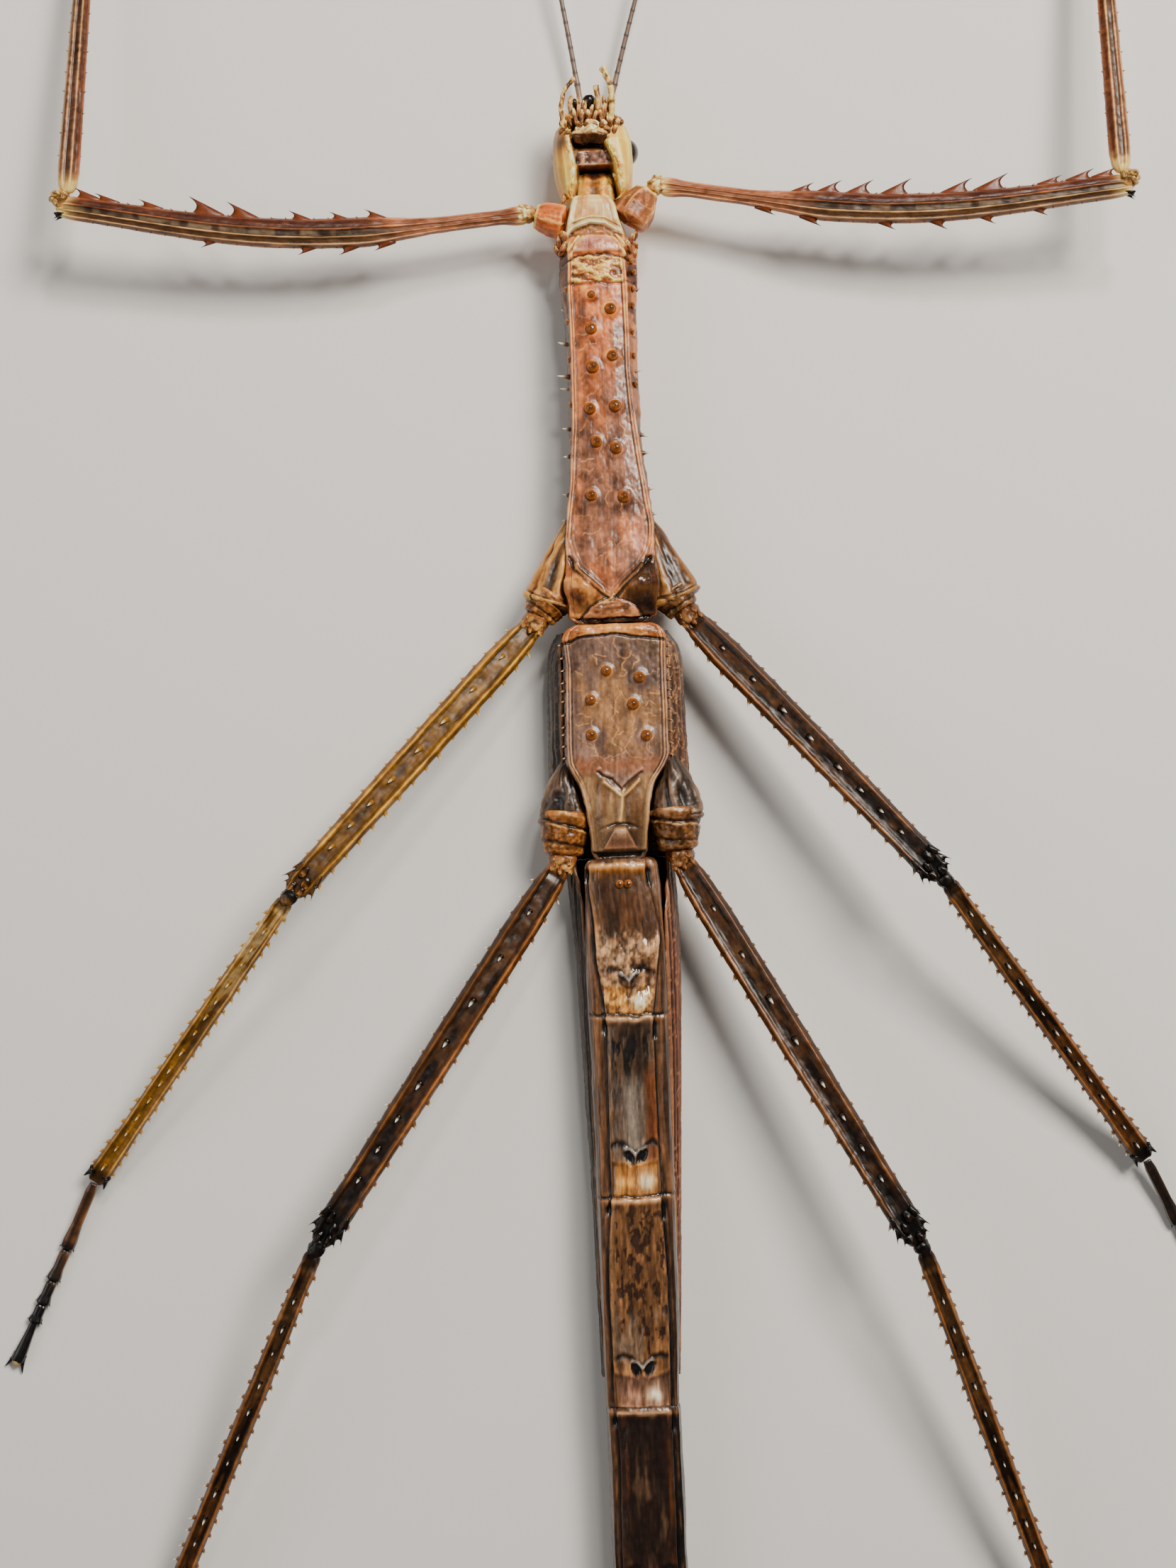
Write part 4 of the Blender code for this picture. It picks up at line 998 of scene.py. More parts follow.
ENDS = (-17.3, -34.5, -55.0, -79.0, -103.0, -126.0, -146.0, -158.0, -166.0, -173.0)
STERNITE_L = ((-3.7, -16), (-4.0, -19.7), (-3.4, -24.1), (-3.3, -28.9), (-2.6, -33.6), (-2.5, -36),
              (-2.6, -43), (-2.6, -54), (-2.9, -57), (-3.3, -64), (-3.2, -78), (-2.8, -84), (-3.0, -100),
              (-2.9, -126), (-2.4, -146), (-2.0, -160), (-1.5, -173))
STERNITE_R = ((2.5, -16), (2.7, -19), (4.0, -25.4), (3.2, -31.8), (2.8, -35), (2.8, -43), (2.9, -54),
              (3.0, -57), (3.3, -64), (3.2, -78), (3.2, -84), (3.3, -100), (2.9, -126), (2.4, -146),
              (2.0, -160), (1.5, -173))
ABDOMEN_OUT_L = ((-3.9, -16), (-4.3, -20), (-4.6, -30), (-4.4, -40), (-4.3, -51), (-4.3, -60), (-4.3, -70),
                 (-4.2, -80), (-4.1, -88), (-4.1, -100), (-3.9, -126), (-3.3, -146), (-2.7, -160),
                 (-2.3, -167), (-1.9, -173))
ABDOMEN_OUT_R = ((3.9, -16), (4.3, -20), (4.7, -30), (4.6, -40), (4.6, -51), (4.6, -60), (4.5, -70),
                 (4.2, -78), (4.4, -89), (4.4, -100), (4.0, -126), (3.4, -146), (2.8, -160), (2.4, -167),
                 (2.0, -173))


def abdomen_section(y, plate_l, plate_r, out_l, out_r):
    """Rows of sections: a flat plate, a groove, a side strip, flanks and back."""
    belly, back = table(BELLY, y), table(BACK, y)
    middle = (plate_l + plate_r) / 2
    width = (out_r - out_l) / 8.8  # 1 at the abdomen's widest
    pinch = 1 - step(0, 1.0, np.min([np.abs(y - e) for e in ENDS], axis=0))
    deep = 0.42 - 0.15 * pinch
    corners = [(middle, belly + 0.2), (middle + 0.6 * (plate_r - middle), belly + 0.14)]

    def flank(s, plate, out):
        strip = out - plate
        return [
            (plate - s * 0.35, belly - 0.02), (plate - s * 0.08, belly - 0.08),
            (plate + s * 0.02, belly - 0.25), (plate + s * 0.12, belly - deep),
            (plate + s * 0.26, belly - deep + 0.06), (plate + s * 0.38, belly - 0.36),
            (plate + 0.72 * strip, belly - 0.5), (out - s * 0.12, belly - 1.2), (out, belly - 2.2),
            (out - s * 0.1, belly - 4.0), (out - s * 0.5, back + 1.4),
            (out - s * 1.4 * np.minimum(width, 1), back + 0.2),
        ]

    counts = (3, 3, 4, 3, 3, 8, 5, 5, 5, 5, 4)
    corners += flank(1, plate_r, out_r)
    corners += [(middle + 0.5 * (out_r - middle), back), (middle, back),
                (middle + 0.5 * (out_l - middle), back)]
    corners += flank(-1, plate_l, out_l)[::-1] + [(middle + 0.6 * (plate_l - middle), belly + 0.14)]
    return ring(corners, (18, 14, *counts, 5, 5, 5, 5, *counts[::-1], 14, 18), 0.7)


def plate_coats(number, plate, down, x, half, speckle, wear, wear2):
    """The blotches on one segment's plate. down runs from 0 at its front to 1 at its back."""
    if number == 2:
        return (
            (shade((0.19, 0.10, 0.045, 0.3), 1 + 0.6 * wear), plate * (1 - step(0.42, 0.56, down)) * 0.7),
            ((0.34, 0.18, 0.06, 0.24), plate * bump(down - 0.04, 0.05)),
        )
    if number == 3:
        blotch = step(-0.05, 0.25, wear2 + 0.5 * bump(x, 1.2) - 0.2)
        return (
            ((0.19, 0.125, 0.085, 0.26), plate * step(-0.5, 0.1, wear) * 0.7),
            ((0.035, 0.025, 0.02, 0.28), plate * window(down, 0.08, 0.48, 0.08) * blotch),
            # a pale grey patch, partly its own colour and partly painted sheen
            ((0.42, 0.36, 0.31, 0.18), plate * window(down, 0.36, 0.78, 0.08) * bump(x + 0.1, 1.3) * 0.85),
            ((0.24, 0.1, 0.035, 0.26),
             plate * window(down, 0.3, 0.8, 0.1) * step(1.1, 1.7, x + 0.3 * wear) * 0.85),
        )
    if number == 4:
        dots = step(0.0, 0.2, speckle + 0.4 * bump(x, 0.9) - 0.22)
        return (
            (shade((0.30, 0.175, 0.09, 0.24), 1 + 0.5 * wear2), plate * 0.85),
            ((0.045, 0.022, 0.018, 0.28), plate * dots * window(down, 0.04, 0.78, 0.05) * 0.75),
            # tan patches, partly their own colour and partly painted highlight
            ((0.33, 0.26, 0.2, 0.2), plate * window(down, 0.55, 0.78, 0.06) * step(0.1, 0.4, wear) * 0.6),
        )
    return (
        ((0.055, 0.028, 0.018, 0.26), plate * step(-0.5, 0.1, wear + 0.3 * bump(x, 1.2)) * 0.9),
        ((0.17, 0.08, 0.032, 0.26), plate * bump(np.abs(x) - half * 0.8, 0.3) * step(-0.4, 0.3, wear2) * 0.8),
    )


def gull_mark(number, plate, size, x, v, crooked, seam_length, wear2):
    """A dark gull-shaped line, two black lobes under it, a grey ridge with a painted reflection between them
    and a seam behind.
    """
    ax = np.abs(x) / size
    lobes = 1 - step(0.6, 1.15, np.hypot((ax - 0.75) / 0.75, (v + 0.75 - 0.55 * ax) / 0.85) + 0.25 * wear2)
    if number == 2:
        lobes = lobes * 0.3
    gull = strokes(ax, v, (((0.1, -0.1), (0.8, 0.35), (1.4, 1.0), (2.1, 1.2), (2.6, 0.9)),), 0.36)
    ridge = strokes(ax, v, (((0.0, -0.3), (0.5, 0.25), (1.1, 0.6)),), 0.2)
    seam = strokes(crooked, v, (((0.0, -0.4), (0.05, -seam_length)),), 0.1)
    relief = plate * (0.26 * ridge - 0.3 * lobes - 0.1 * gull + 0.08 * seam)
    return relief, (
        (BLACK, plate * np.clip(lobes + 0.8 * gull, 0, 1) * 0.9),
        # the grey on the ridge is a painted reflection
        ((0.34, 0.32, 0.30, 0.16), plate * ridge * 0.8),
        ((0.12, 0.05, 0.02, 0.2), plate * seam * 0.8),
    )


MEMBRANE_TINTS = {2: (0.72, 0.40, 0.15, 0.14), 3: (0.72, 0.40, 0.15, 0.14), 4: (0.40, 0.25, 0.18, 0.14)}
DULL_MEMBRANE = (0.26, 0.13, 0.055, 0.18)


def abdomen_piece(name, first, last, spacing, nodes):
    """Segments first to last of the abdomen as one skin, with a row of points each spacing mm."""
    bag = Bag()
    front, back_end, tail = ENDS[first - 2], ENDS[last - 1], last == 10
    y = np.linspace(front + 0.4, back_end if tail else back_end - 0.4, int((front - back_end) / spacing))
    plate_l, plate_r, out_l, out_r = (
        blur(along(line, y), 5) for line in (STERNITE_L, STERNITE_R, ABDOMEN_OUT_L, ABDOMEN_OUT_R))
    section = abdomen_section(y, plate_l, plate_r, out_l, out_r)
    points = close_ends(trunk(y, section), y, 1.0, *((2.5, 0.5) if tail else (0.8, 0.8)))
    X, Y, Z = (points[..., i] for i in range(3))
    facing = normals(points)[..., 2]
    up = step(0.2, 0.6, facing)
    edge_l, edge_r = plate_l[:, None], plate_r[:, None]
    inside = between(X, plate_l, plate_r, -0.02, 0.15) * up
    seed = 200 + first
    wavy = Y + 0.2 * noise(X * 0.9, Y * 0.6, seed=seed + 20)
    relief = (0.08 * noise(X * 0.6, Y * 0.2, Z * 0.5, seed)
              + 0.03 * noise(X * 2.5, Y * 0.9, Z * 2.5, seed + 1, 2))
    relief += 0.05 * (1 - inside) * up * noise(X * 2.4, Y * 0.12, seed=seed + 2)

    shadows = step(-0.3, 0.45, noise(X * 0.9, Y * 0.16, seed=seed + 3))
    colours = mix((0.19, 0.125, 0.08, 0.28), (0.085, 0.053, 0.036, 0.26), shadows)
    side_colour = mix((0.185, 0.105, 0.055, 0.32), (0.065, 0.038, 0.022, 0.32),
                      step(-0.3, 0.35, noise(X * 1.5, Y * 0.09, Z * 0.6, seed + 4)))
    side_colour = shade(side_colour,
                        (1 - 0.45 * step(60, 85, -Y)) * (1 - 0.6 * step(0, 2, X) * window(-Y, 56, 100, 3)))
    colours = mix(colours, side_colour, 1 - inside)
    centre = (edge_l + edge_r) / 2 + 0 * X
    half = (edge_r - edge_l) / 2
    x = X - centre - 0.1
    wear = noise(X * 1.1, Y * 0.25, seed=seed + 10)
    wear2 = noise(X * 2.2, Y * 0.5, seed=seed + 11)
    speckle = noise(X * 2.2, Y * 1.0, seed=seed + 12, octaves=4)
    for number in range(first, last + 1):
        a, b = ENDS[number - 2], ENDS[number - 1]
        here = window(wavy, b, a, 0.05)
        length = a - b
        down = (a - Y) / length  # 0 at the segment's front, 1 at its back
        seg = here * inside
        relief += seg * 0.16 * bump(a - wavy - 0.5, 0.5)
        rear = min(7.5, length * 0.36)
        membrane = seg * (1 - step(rear * 0.44, rear * 0.54, wavy - b - 0.12 * np.abs(x)))
        relief -= 0.2 * membrane
        colours = layer(colours, *plate_coats(number, seg, down, x, half, speckle, wear, wear2))
        if number == 2:
            # the rear half's pale tint: partly its own colour, partly painted highlight on the crumpled skin
            bright = seg * window(down + 0.05 * wear, 0.46, 0.97, 0.05)
            gleam = step(-0.7, 0.7, noise(X * 0.8, Y * 0.6, seed=seed + 31, octaves=4))
            colours = mix(colours, mix((0.28, 0.165, 0.10, 0.2), (0.50, 0.34, 0.22, 0.14), gleam),
                          bright * 0.85)
            relief += 0.3 * bright * noise(X * 0.8, Y * 0.55, seed=seed + 30, octaves=4)
        if number < 5:
            colours = mix(colours, (0.36, 0.23, 0.12, 0.26), seg * bump(X - edge_l - 0.35, 0.2) * 0.6)
        if number <= 8:
            mark_relief, coats = gull_mark(number, seg, min(1.0, length / 20), x, wavy - b - rear * 0.66,
                                           x + 0.12 * np.sin(Y * 4), rear * 0.66, wear2)
            relief += mark_relief
            orange = MEMBRANE_TINTS.get(number, DULL_MEMBRANE)
            if number < 5:
                # a painted white glint on the membrane
                orange = mix(orange, (0.86, 0.70, 0.52, 0.12), spot(x - 1.2, wavy - b - 1.7, 0.9, 1.0))
            glow = membrane * (1 - 0.9 * step(0.75, 1.0, np.abs(x) / half))
            swellings = sum(spot(x - s * 1.1, wavy - b - rear * 0.2, 1.0, 0.9) for s in (-1, 1))
            relief += 0.18 * membrane * swellings
            colours = layer(colours, (shade(orange, 1 + 0.4 * wear2), glow * 0.95), *coats)
        colours = mix(colours, (0.50, 0.34, 0.22, 0.2), seg * bump(a - wavy - 0.4, 0.22) * 0.7)
        # dark slots where the side strips start
        for s, edge, reach in ((-1, edge_l, 1.9), (1, edge_r, 2.8)):
            slot = bump(X - edge - s * (0.1 + 0.16 * np.sin((a - Y) * 1.1)), 0.3)
            slot = slot * window(wavy, a - reach, a - 0.9, 0.4) * here * up
            relief -= 0.2 * slot
            colours = mix(colours, BLACK, np.clip(slot * 1.2, 0, 1))
        if number < 10:
            relief -= 0.2 * up * bump(wavy - b, 0.16)
        colours = layer(
            colours,
            (DARK, bump(wavy - b, 0.14) * 0.85),
            ((0.26, 0.15, 0.08, 0.3), (1 - inside) * bump(a - wavy - 0.35, 0.2) * 0.6),
        )
    groove = up * np.maximum(bump(X - edge_l + 0.16, 0.13), bump(X - edge_r - 0.16, 0.13))
    colours = mix(colours, (0.05, 0.028, 0.018, 0.3), groove * 0.4)
    fold = up * np.maximum(bump(X - edge_l + 0.5, 0.14), bump(X - edge_r - 0.5, 0.14))
    colours = layer(
        colours,
        ((0.30, 0.17, 0.085, 0.3), fold * 0.5 * step(-0.5, 0.3, wear2)),
        (shade(side_colour, 0.9), step(0.1, 0.6, -facing)),
    )
    if first == 2:
        for x0 in (-0.36, 0.6):
            bag.dome((x0, -19.73, table(BELLY, -19.7) + 0.2), (0.48, 0.5, 0.5), KNOB, rows=12, columns=16,
                     low=(0.2, 0.08, 0.02, 0.4), rough=0.06)
    bag.tube(points, colours, relief, grain=0.03, streak=0.22)
    if tail:
        make_tail(bag)
    piece(name, bag, SHELL, nodes)


def make_tail(bag):
    """The boat-shaped operculum under the last segments and the two leaf-like cerci."""
    y = np.linspace(-149.5, -178.2, 150)
    wide, deep = table(((-149.5, 1.0, 0.15), (-151, 2.0, 0.55), (-156, 2.35, 0.85), (-166, 1.85, 0.95),
                        (-174, 1.1, 0.65), (-177.4, 0.5, 0.35), (-178.2, 0.15, 0.12)), y)
    belly = table(BELLY, y)
    a = turns(56)
    keel = 1 + 0.22 * bump(a - math.pi / 2, 0.25)
    points = np.stack([wide[:, None] * np.cos(a), y[:, None] + 0 * a,
                       belly[:, None] + 0.25 + deep[:, None] * (1 + np.sin(a) * keel)], -1)
    X, Y = points[..., 0], points[..., 1]
    relief = (0.05 * noise(X, Y * 0.35, points[..., 2], 301)
              + 0.1 * bump(np.abs(X) - wide[:, None] * 0.8, 0.15))
    colours = mix((0.13, 0.065, 0.03, 0.28), (0.05, 0.025, 0.015, 0.28),
                  step(-0.3, 0.4, noise(X * 1.2, Y * 0.2, seed=302)))
    colours = mix(colours, (0.33, 0.17, 0.07, 0.26), bump(X, 0.25) * 0.8)
    bag.tube(points, colours, relief)
    leaf = ((0.0, 0.45, 0.4), (0.08, 0.75, 0.3), (0.2, 1.05, 0.22), (0.5, 1.3, 0.2), (0.8, 0.95, 0.16),
            (0.95, 0.45, 0.12), (1.0, 0.12, 0.08))

    def ribs(t, x, z, q):
        return 0.05 * np.sin(x * 14 - t * 40) * step(0.15, 0.4, np.abs(x)) * step(0.1, 0.3, t)

    for s in (1, -1):
        blade = Limb((s * 1.2, -173.0, 2.5), (s * 3.4, -185.0, 1.6), leaf, s)
        base, rim = (0.13, 0.065, 0.03, 0.34), (0.26, 0.14, 0.06, 0.32)
        corners = [(1, 0, *rim), (0.5, 0.8, *base), (0.12, 0.9, *base), (0, 1.5, *rim), (-0.12, 0.9, *base),
                   (-0.5, 0.8, *base), (-1, 0, *rim), (-0.5, -0.9, *base), (0.5, -0.9, *base)]
        blade.skin(bag, 70, corners, (5, 4, 2, 2, 4, 5, 5, 6, 5), ribs, sigma=0.7)


# ---------------------------------------------------------------- head, neck and front thorax

def make_front_thorax():
    """The neck membrane and the short front thorax between the fore coxae."""
    bag = Bag()
    y = np.linspace(58.3, 52.6, 120)
    out_l = along(((-2.9, 58.3), (-3.3, 57.0), (-3.6, 55.5), (-3.9, 54.2), (-4.0, 52.6)), y)
    out_r = along(((2.0, 58.3), (2.6, 57.0), (2.9, 55.5), (3.4, 54.2), (3.7, 52.6)), y)
    belly = table(((58.3, 7.2), (57.6, 7.6), (55.4, 7.9), (54.4, 7.7), (52.6, 7.5)), y)
    section = closed_section(out_l + 0.9, out_r - 0.9, out_l, out_r, belly, 1.9 + 0 * y, 0 * y, crown=0.3)
    points = close_ends(trunk(y, section), y, 0.5, 0.4, 0.85)
    X, Y, Z = (points[..., i] for i in range(3))
    up = step(0.2, 0.6, normals(points)[..., 2])
    arch = ((-3.4, 53.8), (-2.6, 54.6), (-0.8, 55.1), (1.0, 54.9), (2.6, 54.0))
    near = line_distance(X + 0.15 * noise(X, Y, seed=404), Y, arch)
    arch_y = table(arch, X)
    relief = (0.07 * noise(X * 0.7, Y * 0.7, Z, 401) + 0.14 * up * bump(near, 0.14)
              - 0.14 * up * bump(near - 0.4, 0.14))
    relief += 0.07 * up * bump(line_distance(X, Y - 0.6, arch), 0.1)
    relief -= 0.18 * up * spot(X + 0.4, Y - 56.4, 1.6, 0.9)
    behind = up * step(0.15, 0.5, arch_y - Y)
    relief += behind * 0.14 * noise(X * 1.2, Y * 1.8, seed=402)
    colours = mix((0.96, 0.66, 0.34, 0.34), (0.80, 0.46, 0.21, 0.36),
                  step(-0.3, 0.4, noise(X * 0.8, Y * 0.8, seed=403)))
    colours = layer(
        colours,
        ((0.90, 0.74, 0.46, 0.3), up * bump(near, 0.16) * 0.7),
        # a painted glint on the front thorax
        ((0.88, 0.70, 0.42, 0.28), up * spot(X - 1.2, Y - 56.2, 0.7, 0.9) * 0.7),
        ((0.46, 0.24, 0.10, 0.34), behind * 0.8),
        ((0.20, 0.09, 0.035, 0.4), behind * bump(near - 0.5, 0.25) * 0.6),
    )
    side = 1 - step(0.3, 0.7, up)
    colours = mix(colours, (0.34, 0.17, 0.075, 0.42), side * 0.85)
    bag.tube(points, colours, relief, streak=0.08)
    # crumpled skin at the shoulders
    places = ((-4.3, 53.2, 6.6), (-3.9, 52.3, 7.2), (-4.2, 51.6, 6.6), (-3.7, 53.6, 7.3), (3.9, 53.2, 6.9),
              (4.4, 52.6, 6.3), (3.5, 52.2, 7.4), (4.2, 51.5, 6.6), (4.4, 53.8, 6.2), (-4.5, 52.4, 6.0))
    for i, (x, y0, z) in enumerate(places):
        r = 0.42 + 0.12 * math.sin(i * 2.3)
        bag.dome((x, y0, z), (r * 0.8, r * 0.6, r * 1.5), (0.60, 0.37, 0.18, 0.32),
                 axis=(0.5 * math.sin(i * 1.9), 1, 0.3), rows=20, columns=24, low=(0.26, 0.12, 0.05, 0.4),
                 rough=0.32, seed=i + 20)
    # neck membrane, a soft band in the throat
    y = np.linspace(61.2, 57.4, 90)
    a = turns(96)
    height = table(((61.2, 5.2), (60.4, 5.9), (59.5, 6.3), (57.4, 6.9)), y)
    x = 0.1 + 2.15 * np.sign(np.cos(a)) * np.abs(np.cos(a)) ** 0.8
    z = height[:, None] - 1.6 + 1.6 * np.sign(np.sin(a)) * np.abs(np.sin(a)) ** 0.7
    points = np.stack([x + 0 * z, y[:, None] + 0 * z, z], -1)
    X, Y = points[..., 0], points[..., 1]
    relief = (0.05 * bump(np.abs(X) - 0.95, 0.3) + 0.09 * noise(X * 1.2, Y * 1.2, seed=411)
              - 0.1 * bump(X + 0.05, 0.5))
    colours = mix((0.74, 0.40, 0.10, 0.34), (0.36, 0.17, 0.045, 0.34), bump(X + 0.05, 0.6) * 0.8)
    colours = shade(colours, 1 + 0.35 * noise(X * 1.5, Y * 0.8, seed=412))
    colours = layer(
        colours,
        # painted shadow where the neck goes in under the head
        ((0.08, 0.02, 0.008, 0.5), step(60.2, 61.0, Y) * 0.9),
        ((0.86, 0.62, 0.28, 0.36), bump(np.abs(X) - 1.7, 0.25) * 0.6),
    )
    bag.tube(points, colours, relief)
    piece("front_thorax_shell", bag, SOFT, ["prothorax", "neck"])


def make_head():
    """Two cheeks with a sunken throat between them."""
    bag = Bag()
    y = np.linspace(67.9, 57.9, 190)
    out_l = along(((-3.0, 67.9), (-3.7, 67.1), (-4.3, 66.2), (-4.55, 65.2), (-4.7, 64), (-4.71, 62.9),
                   (-4.61, 61.3), (-4.35, 59.9), (-4.0, 58.5), (-3.8, 57.9)), y)
    out_r = along(((2.9, 67.9), (3.4, 67.3), (3.8, 66.5), (4.2, 65.4), (4.42, 64.2), (4.46, 62.6), (4.4, 61),
                   (4.25, 59.5), (4.0, 58.4), (3.8, 57.9)), y)
    in_l = along(((-2.2, 67.9), (-2.6, 66), (-2.6, 64.6), (-2.3, 63), (-2.05, 61.5), (-2.15, 59.8),
                  (-2.7, 57.9)), y)
    in_r = along(((1.6, 67.9), (1.5, 66), (1.2, 64.2), (1.75, 63), (2.25, 61.6), (2.45, 60.2), (2.8, 58.6),
                  (2.9, 57.9)), y)
    belly = table(((67.9, 6.6), (66.5, 7.3), (64.5, 7.9), (61.5, 8.0), (59.5, 7.7), (57.9, 7.0)), y)
    floor = table(((67.9, 5.6), (65.4, 6.4), (64.6, 5.8), (63.9, 6.2), (63.4, 6.7), (61.9, 6.5), (61.5, 4.6),
                   (60.4, 3.9), (59.5, 4.4), (57.9, 4.8)), y)
    back = table(((67.9, 2.2), (66, 1.6), (62, 1.3), (59, 1.7), (57.9, 2.2)), y)
    middle = (in_l + in_r) / 2
    corners = [(middle, floor)]

    def cheek(s, inner, outer):
        return [
            (inner - s * 0.45, floor + 0.1), (inner - s * 0.08, belly - 0.75),
            (inner + s * 0.18, belly - 0.08), (inner + s * 0.5, belly + 0.02),
            (inner + 0.5 * (outer - inner), belly - 0.12), (outer - s * 0.45, belly - 1.0),
            (outer - s * 0.06, belly - 2.3), (outer, 4.6), (outer - s * 0.5, back + 1.3),
            (outer - s * 1.6, back + 0.2),
        ]

    corners += (cheek(1, in_r, out_r)
                + [((middle + out_r) / 2, back), (middle, back - 0.1), ((middle + out_l) / 2, back)])
    corners += cheek(-1, in_l, out_l)[::-1]
    counts = (12, 9, 6, 6, 12, 10, 8, 8, 8, 7)
    section = ring(corners, (*counts, 6, 7, 7, 6, *counts[::-1]), 0.9)
    points = close_ends(trunk(y, section), y, 1.6, 1.2, 0.7)
    X, Y, Z = (points[..., i] for i in range(3))
    facing = normals(points)[..., 2]
    up = step(0.1, 0.5, facing)
    trench = between(X, in_l, in_r, -0.1, 0.3) * step(0.3, 0.7, belly[:, None] - Z) * (facing > -0.3)
    rim = np.minimum(np.abs(X - in_l[:, None]), np.abs(X - in_r[:, None]))
    crumple = noise(X * 1.6, Y * 1.3, seed=502, octaves=4)
    near_rim = up * bump(rim - 0.3, 0.34)
    relief = 0.02 * noise(X * 0.9, Y * 0.9, Z * 0.9, 501) + 0.2 * near_rim * crumple
    shadow_side = 1 - step(-4.3, -2.9, X)
    colours = mix((0.84, 0.48, 0.12, 0.38), (0.93, 0.59, 0.17, 0.36),
                  step(-0.4, 0.4, noise(X * 0.5, Y * 0.35, Z * 0.5, 503)))
    colours = layer(
        colours,
        ((0.46, 0.27, 0.09, 0.38), shadow_side * 0.6),
        # painted highlights on the crumpled crests by the rims and painted shade in their dips
        ((0.92, 0.76, 0.46, 0.3), near_rim * step(-0.3, 0.4, crumple) * 0.8),
        ((0.42, 0.22, 0.08, 0.36), near_rim * step(0.2, 0.7, -crumple) * 0.7),
        # painted shadow on the cheek beside the eye
        ((0.13, 0.06, 0.02, 0.4), 0.9 * spot(X + 3.6, Y - 64.3, 0.85, 1.2) * step(4.5, 6, Z)),
        # painted shade on the sunken throat's floor
        ((0.22, 0.10, 0.04, 0.42), trench * 0.9),
    )
    gular = trench * window(Y + 0.15 * crumple, 61.9, 63.4, 0.12)
    colours = mix(colours, shade((0.36, 0.22, 0.16, 0.3), 1 + 0.3 * crumple), gular)
    relief += gular * 0.12 * crumple
    # painted shadow in the recess behind the lip and where the throat meets the neck
    colours = mix(colours, (0.05, 0.016, 0.006, 0.5),
                  trench * np.maximum(window(Y, 63.8, 64.7, 0.2), window(Y, 60.2, 61.6, 0.15)))
    walls = step(0.35, 0.6, 1 - rim) * (1 - up) * step(4, 5, Z) * (1 - step(7.2, 7.6, Z))
    colours = layer(
        colours,
        ((0.50, 0.30, 0.15, 0.38), walls * 0.6 * step(-3, -2.5, X) * (1 - step(2.9, 3.2, X))),
        ((0.40, 0.26, 0.12, 0.4), step(0.1, 0.7, -facing) * 0.6),
    )
    bag.tube(points, colours, relief, grain=0.008, streak=0.05)
    # crumpled rims where the cheeks meet the neck
    for i in range(16):
        s = 1 if i % 2 else -1
        place = 60.6 - 0.34 * (i // 2)
        x = s * (2.45 + 0.13 * (i // 2)) + 0.2 * math.sin(i * 1.7)
        bag.dome((x, place, 6.95 - 0.1 * (i // 2)), (0.28, 0.2, 0.5), (0.88, 0.66, 0.32, 0.32),
                 axis=(-s * 0.4, 1, 0.1 * math.sin(i)), rows=16, columns=20, low=(0.45, 0.24, 0.08, 0.4),
                 rough=0.35, seed=i + 70)
    piece("head_shell", bag, SOFT, ["head"])


def bead_tube(bag, route, radii, colour, joint):
    """A jointed, crumpled feeler through the route's points. joint tints its joints, and its highest lumps as
    painted highlight.
    """
    rows, sides = 90, 20
    knot, t = np.linspace(0, 1, len(route)), np.linspace(0, 1, rows)
    centre = smooth_route(route, t, rows / 22)
    centre[0], centre[-1] = route[0], route[-1]
    size = blur(np.interp(t, knot, radii), 1)
    near = np.min(np.abs(t[:, None] - knot[None, 1:-1]), axis=1) if len(route) > 2 else np.ones(rows)
    size = size * (1 - 0.22 * bump(near, 0.03))
    size[0] *= 0.5
    size[-1] *= 0.35
    points = round_rows(centre, size, sides)
    crumple = cloud(points, (2.4, 1.6, 2.4), 611)
    # lighter on raised lumps and darker in dips: painted light and shade
    colours = shade(np.broadcast_to(colour, (rows, sides, 4)), 1 + 0.5 * crumple)
    colours = layer(
        colours,
        (joint, np.broadcast_to(bump(near, 0.035)[:, None], (rows, sides))),
        (joint, step(0.0, 0.5, crumple) * 0.5),
    )
    bag.tube(points, colours, 0.12 * crumple)


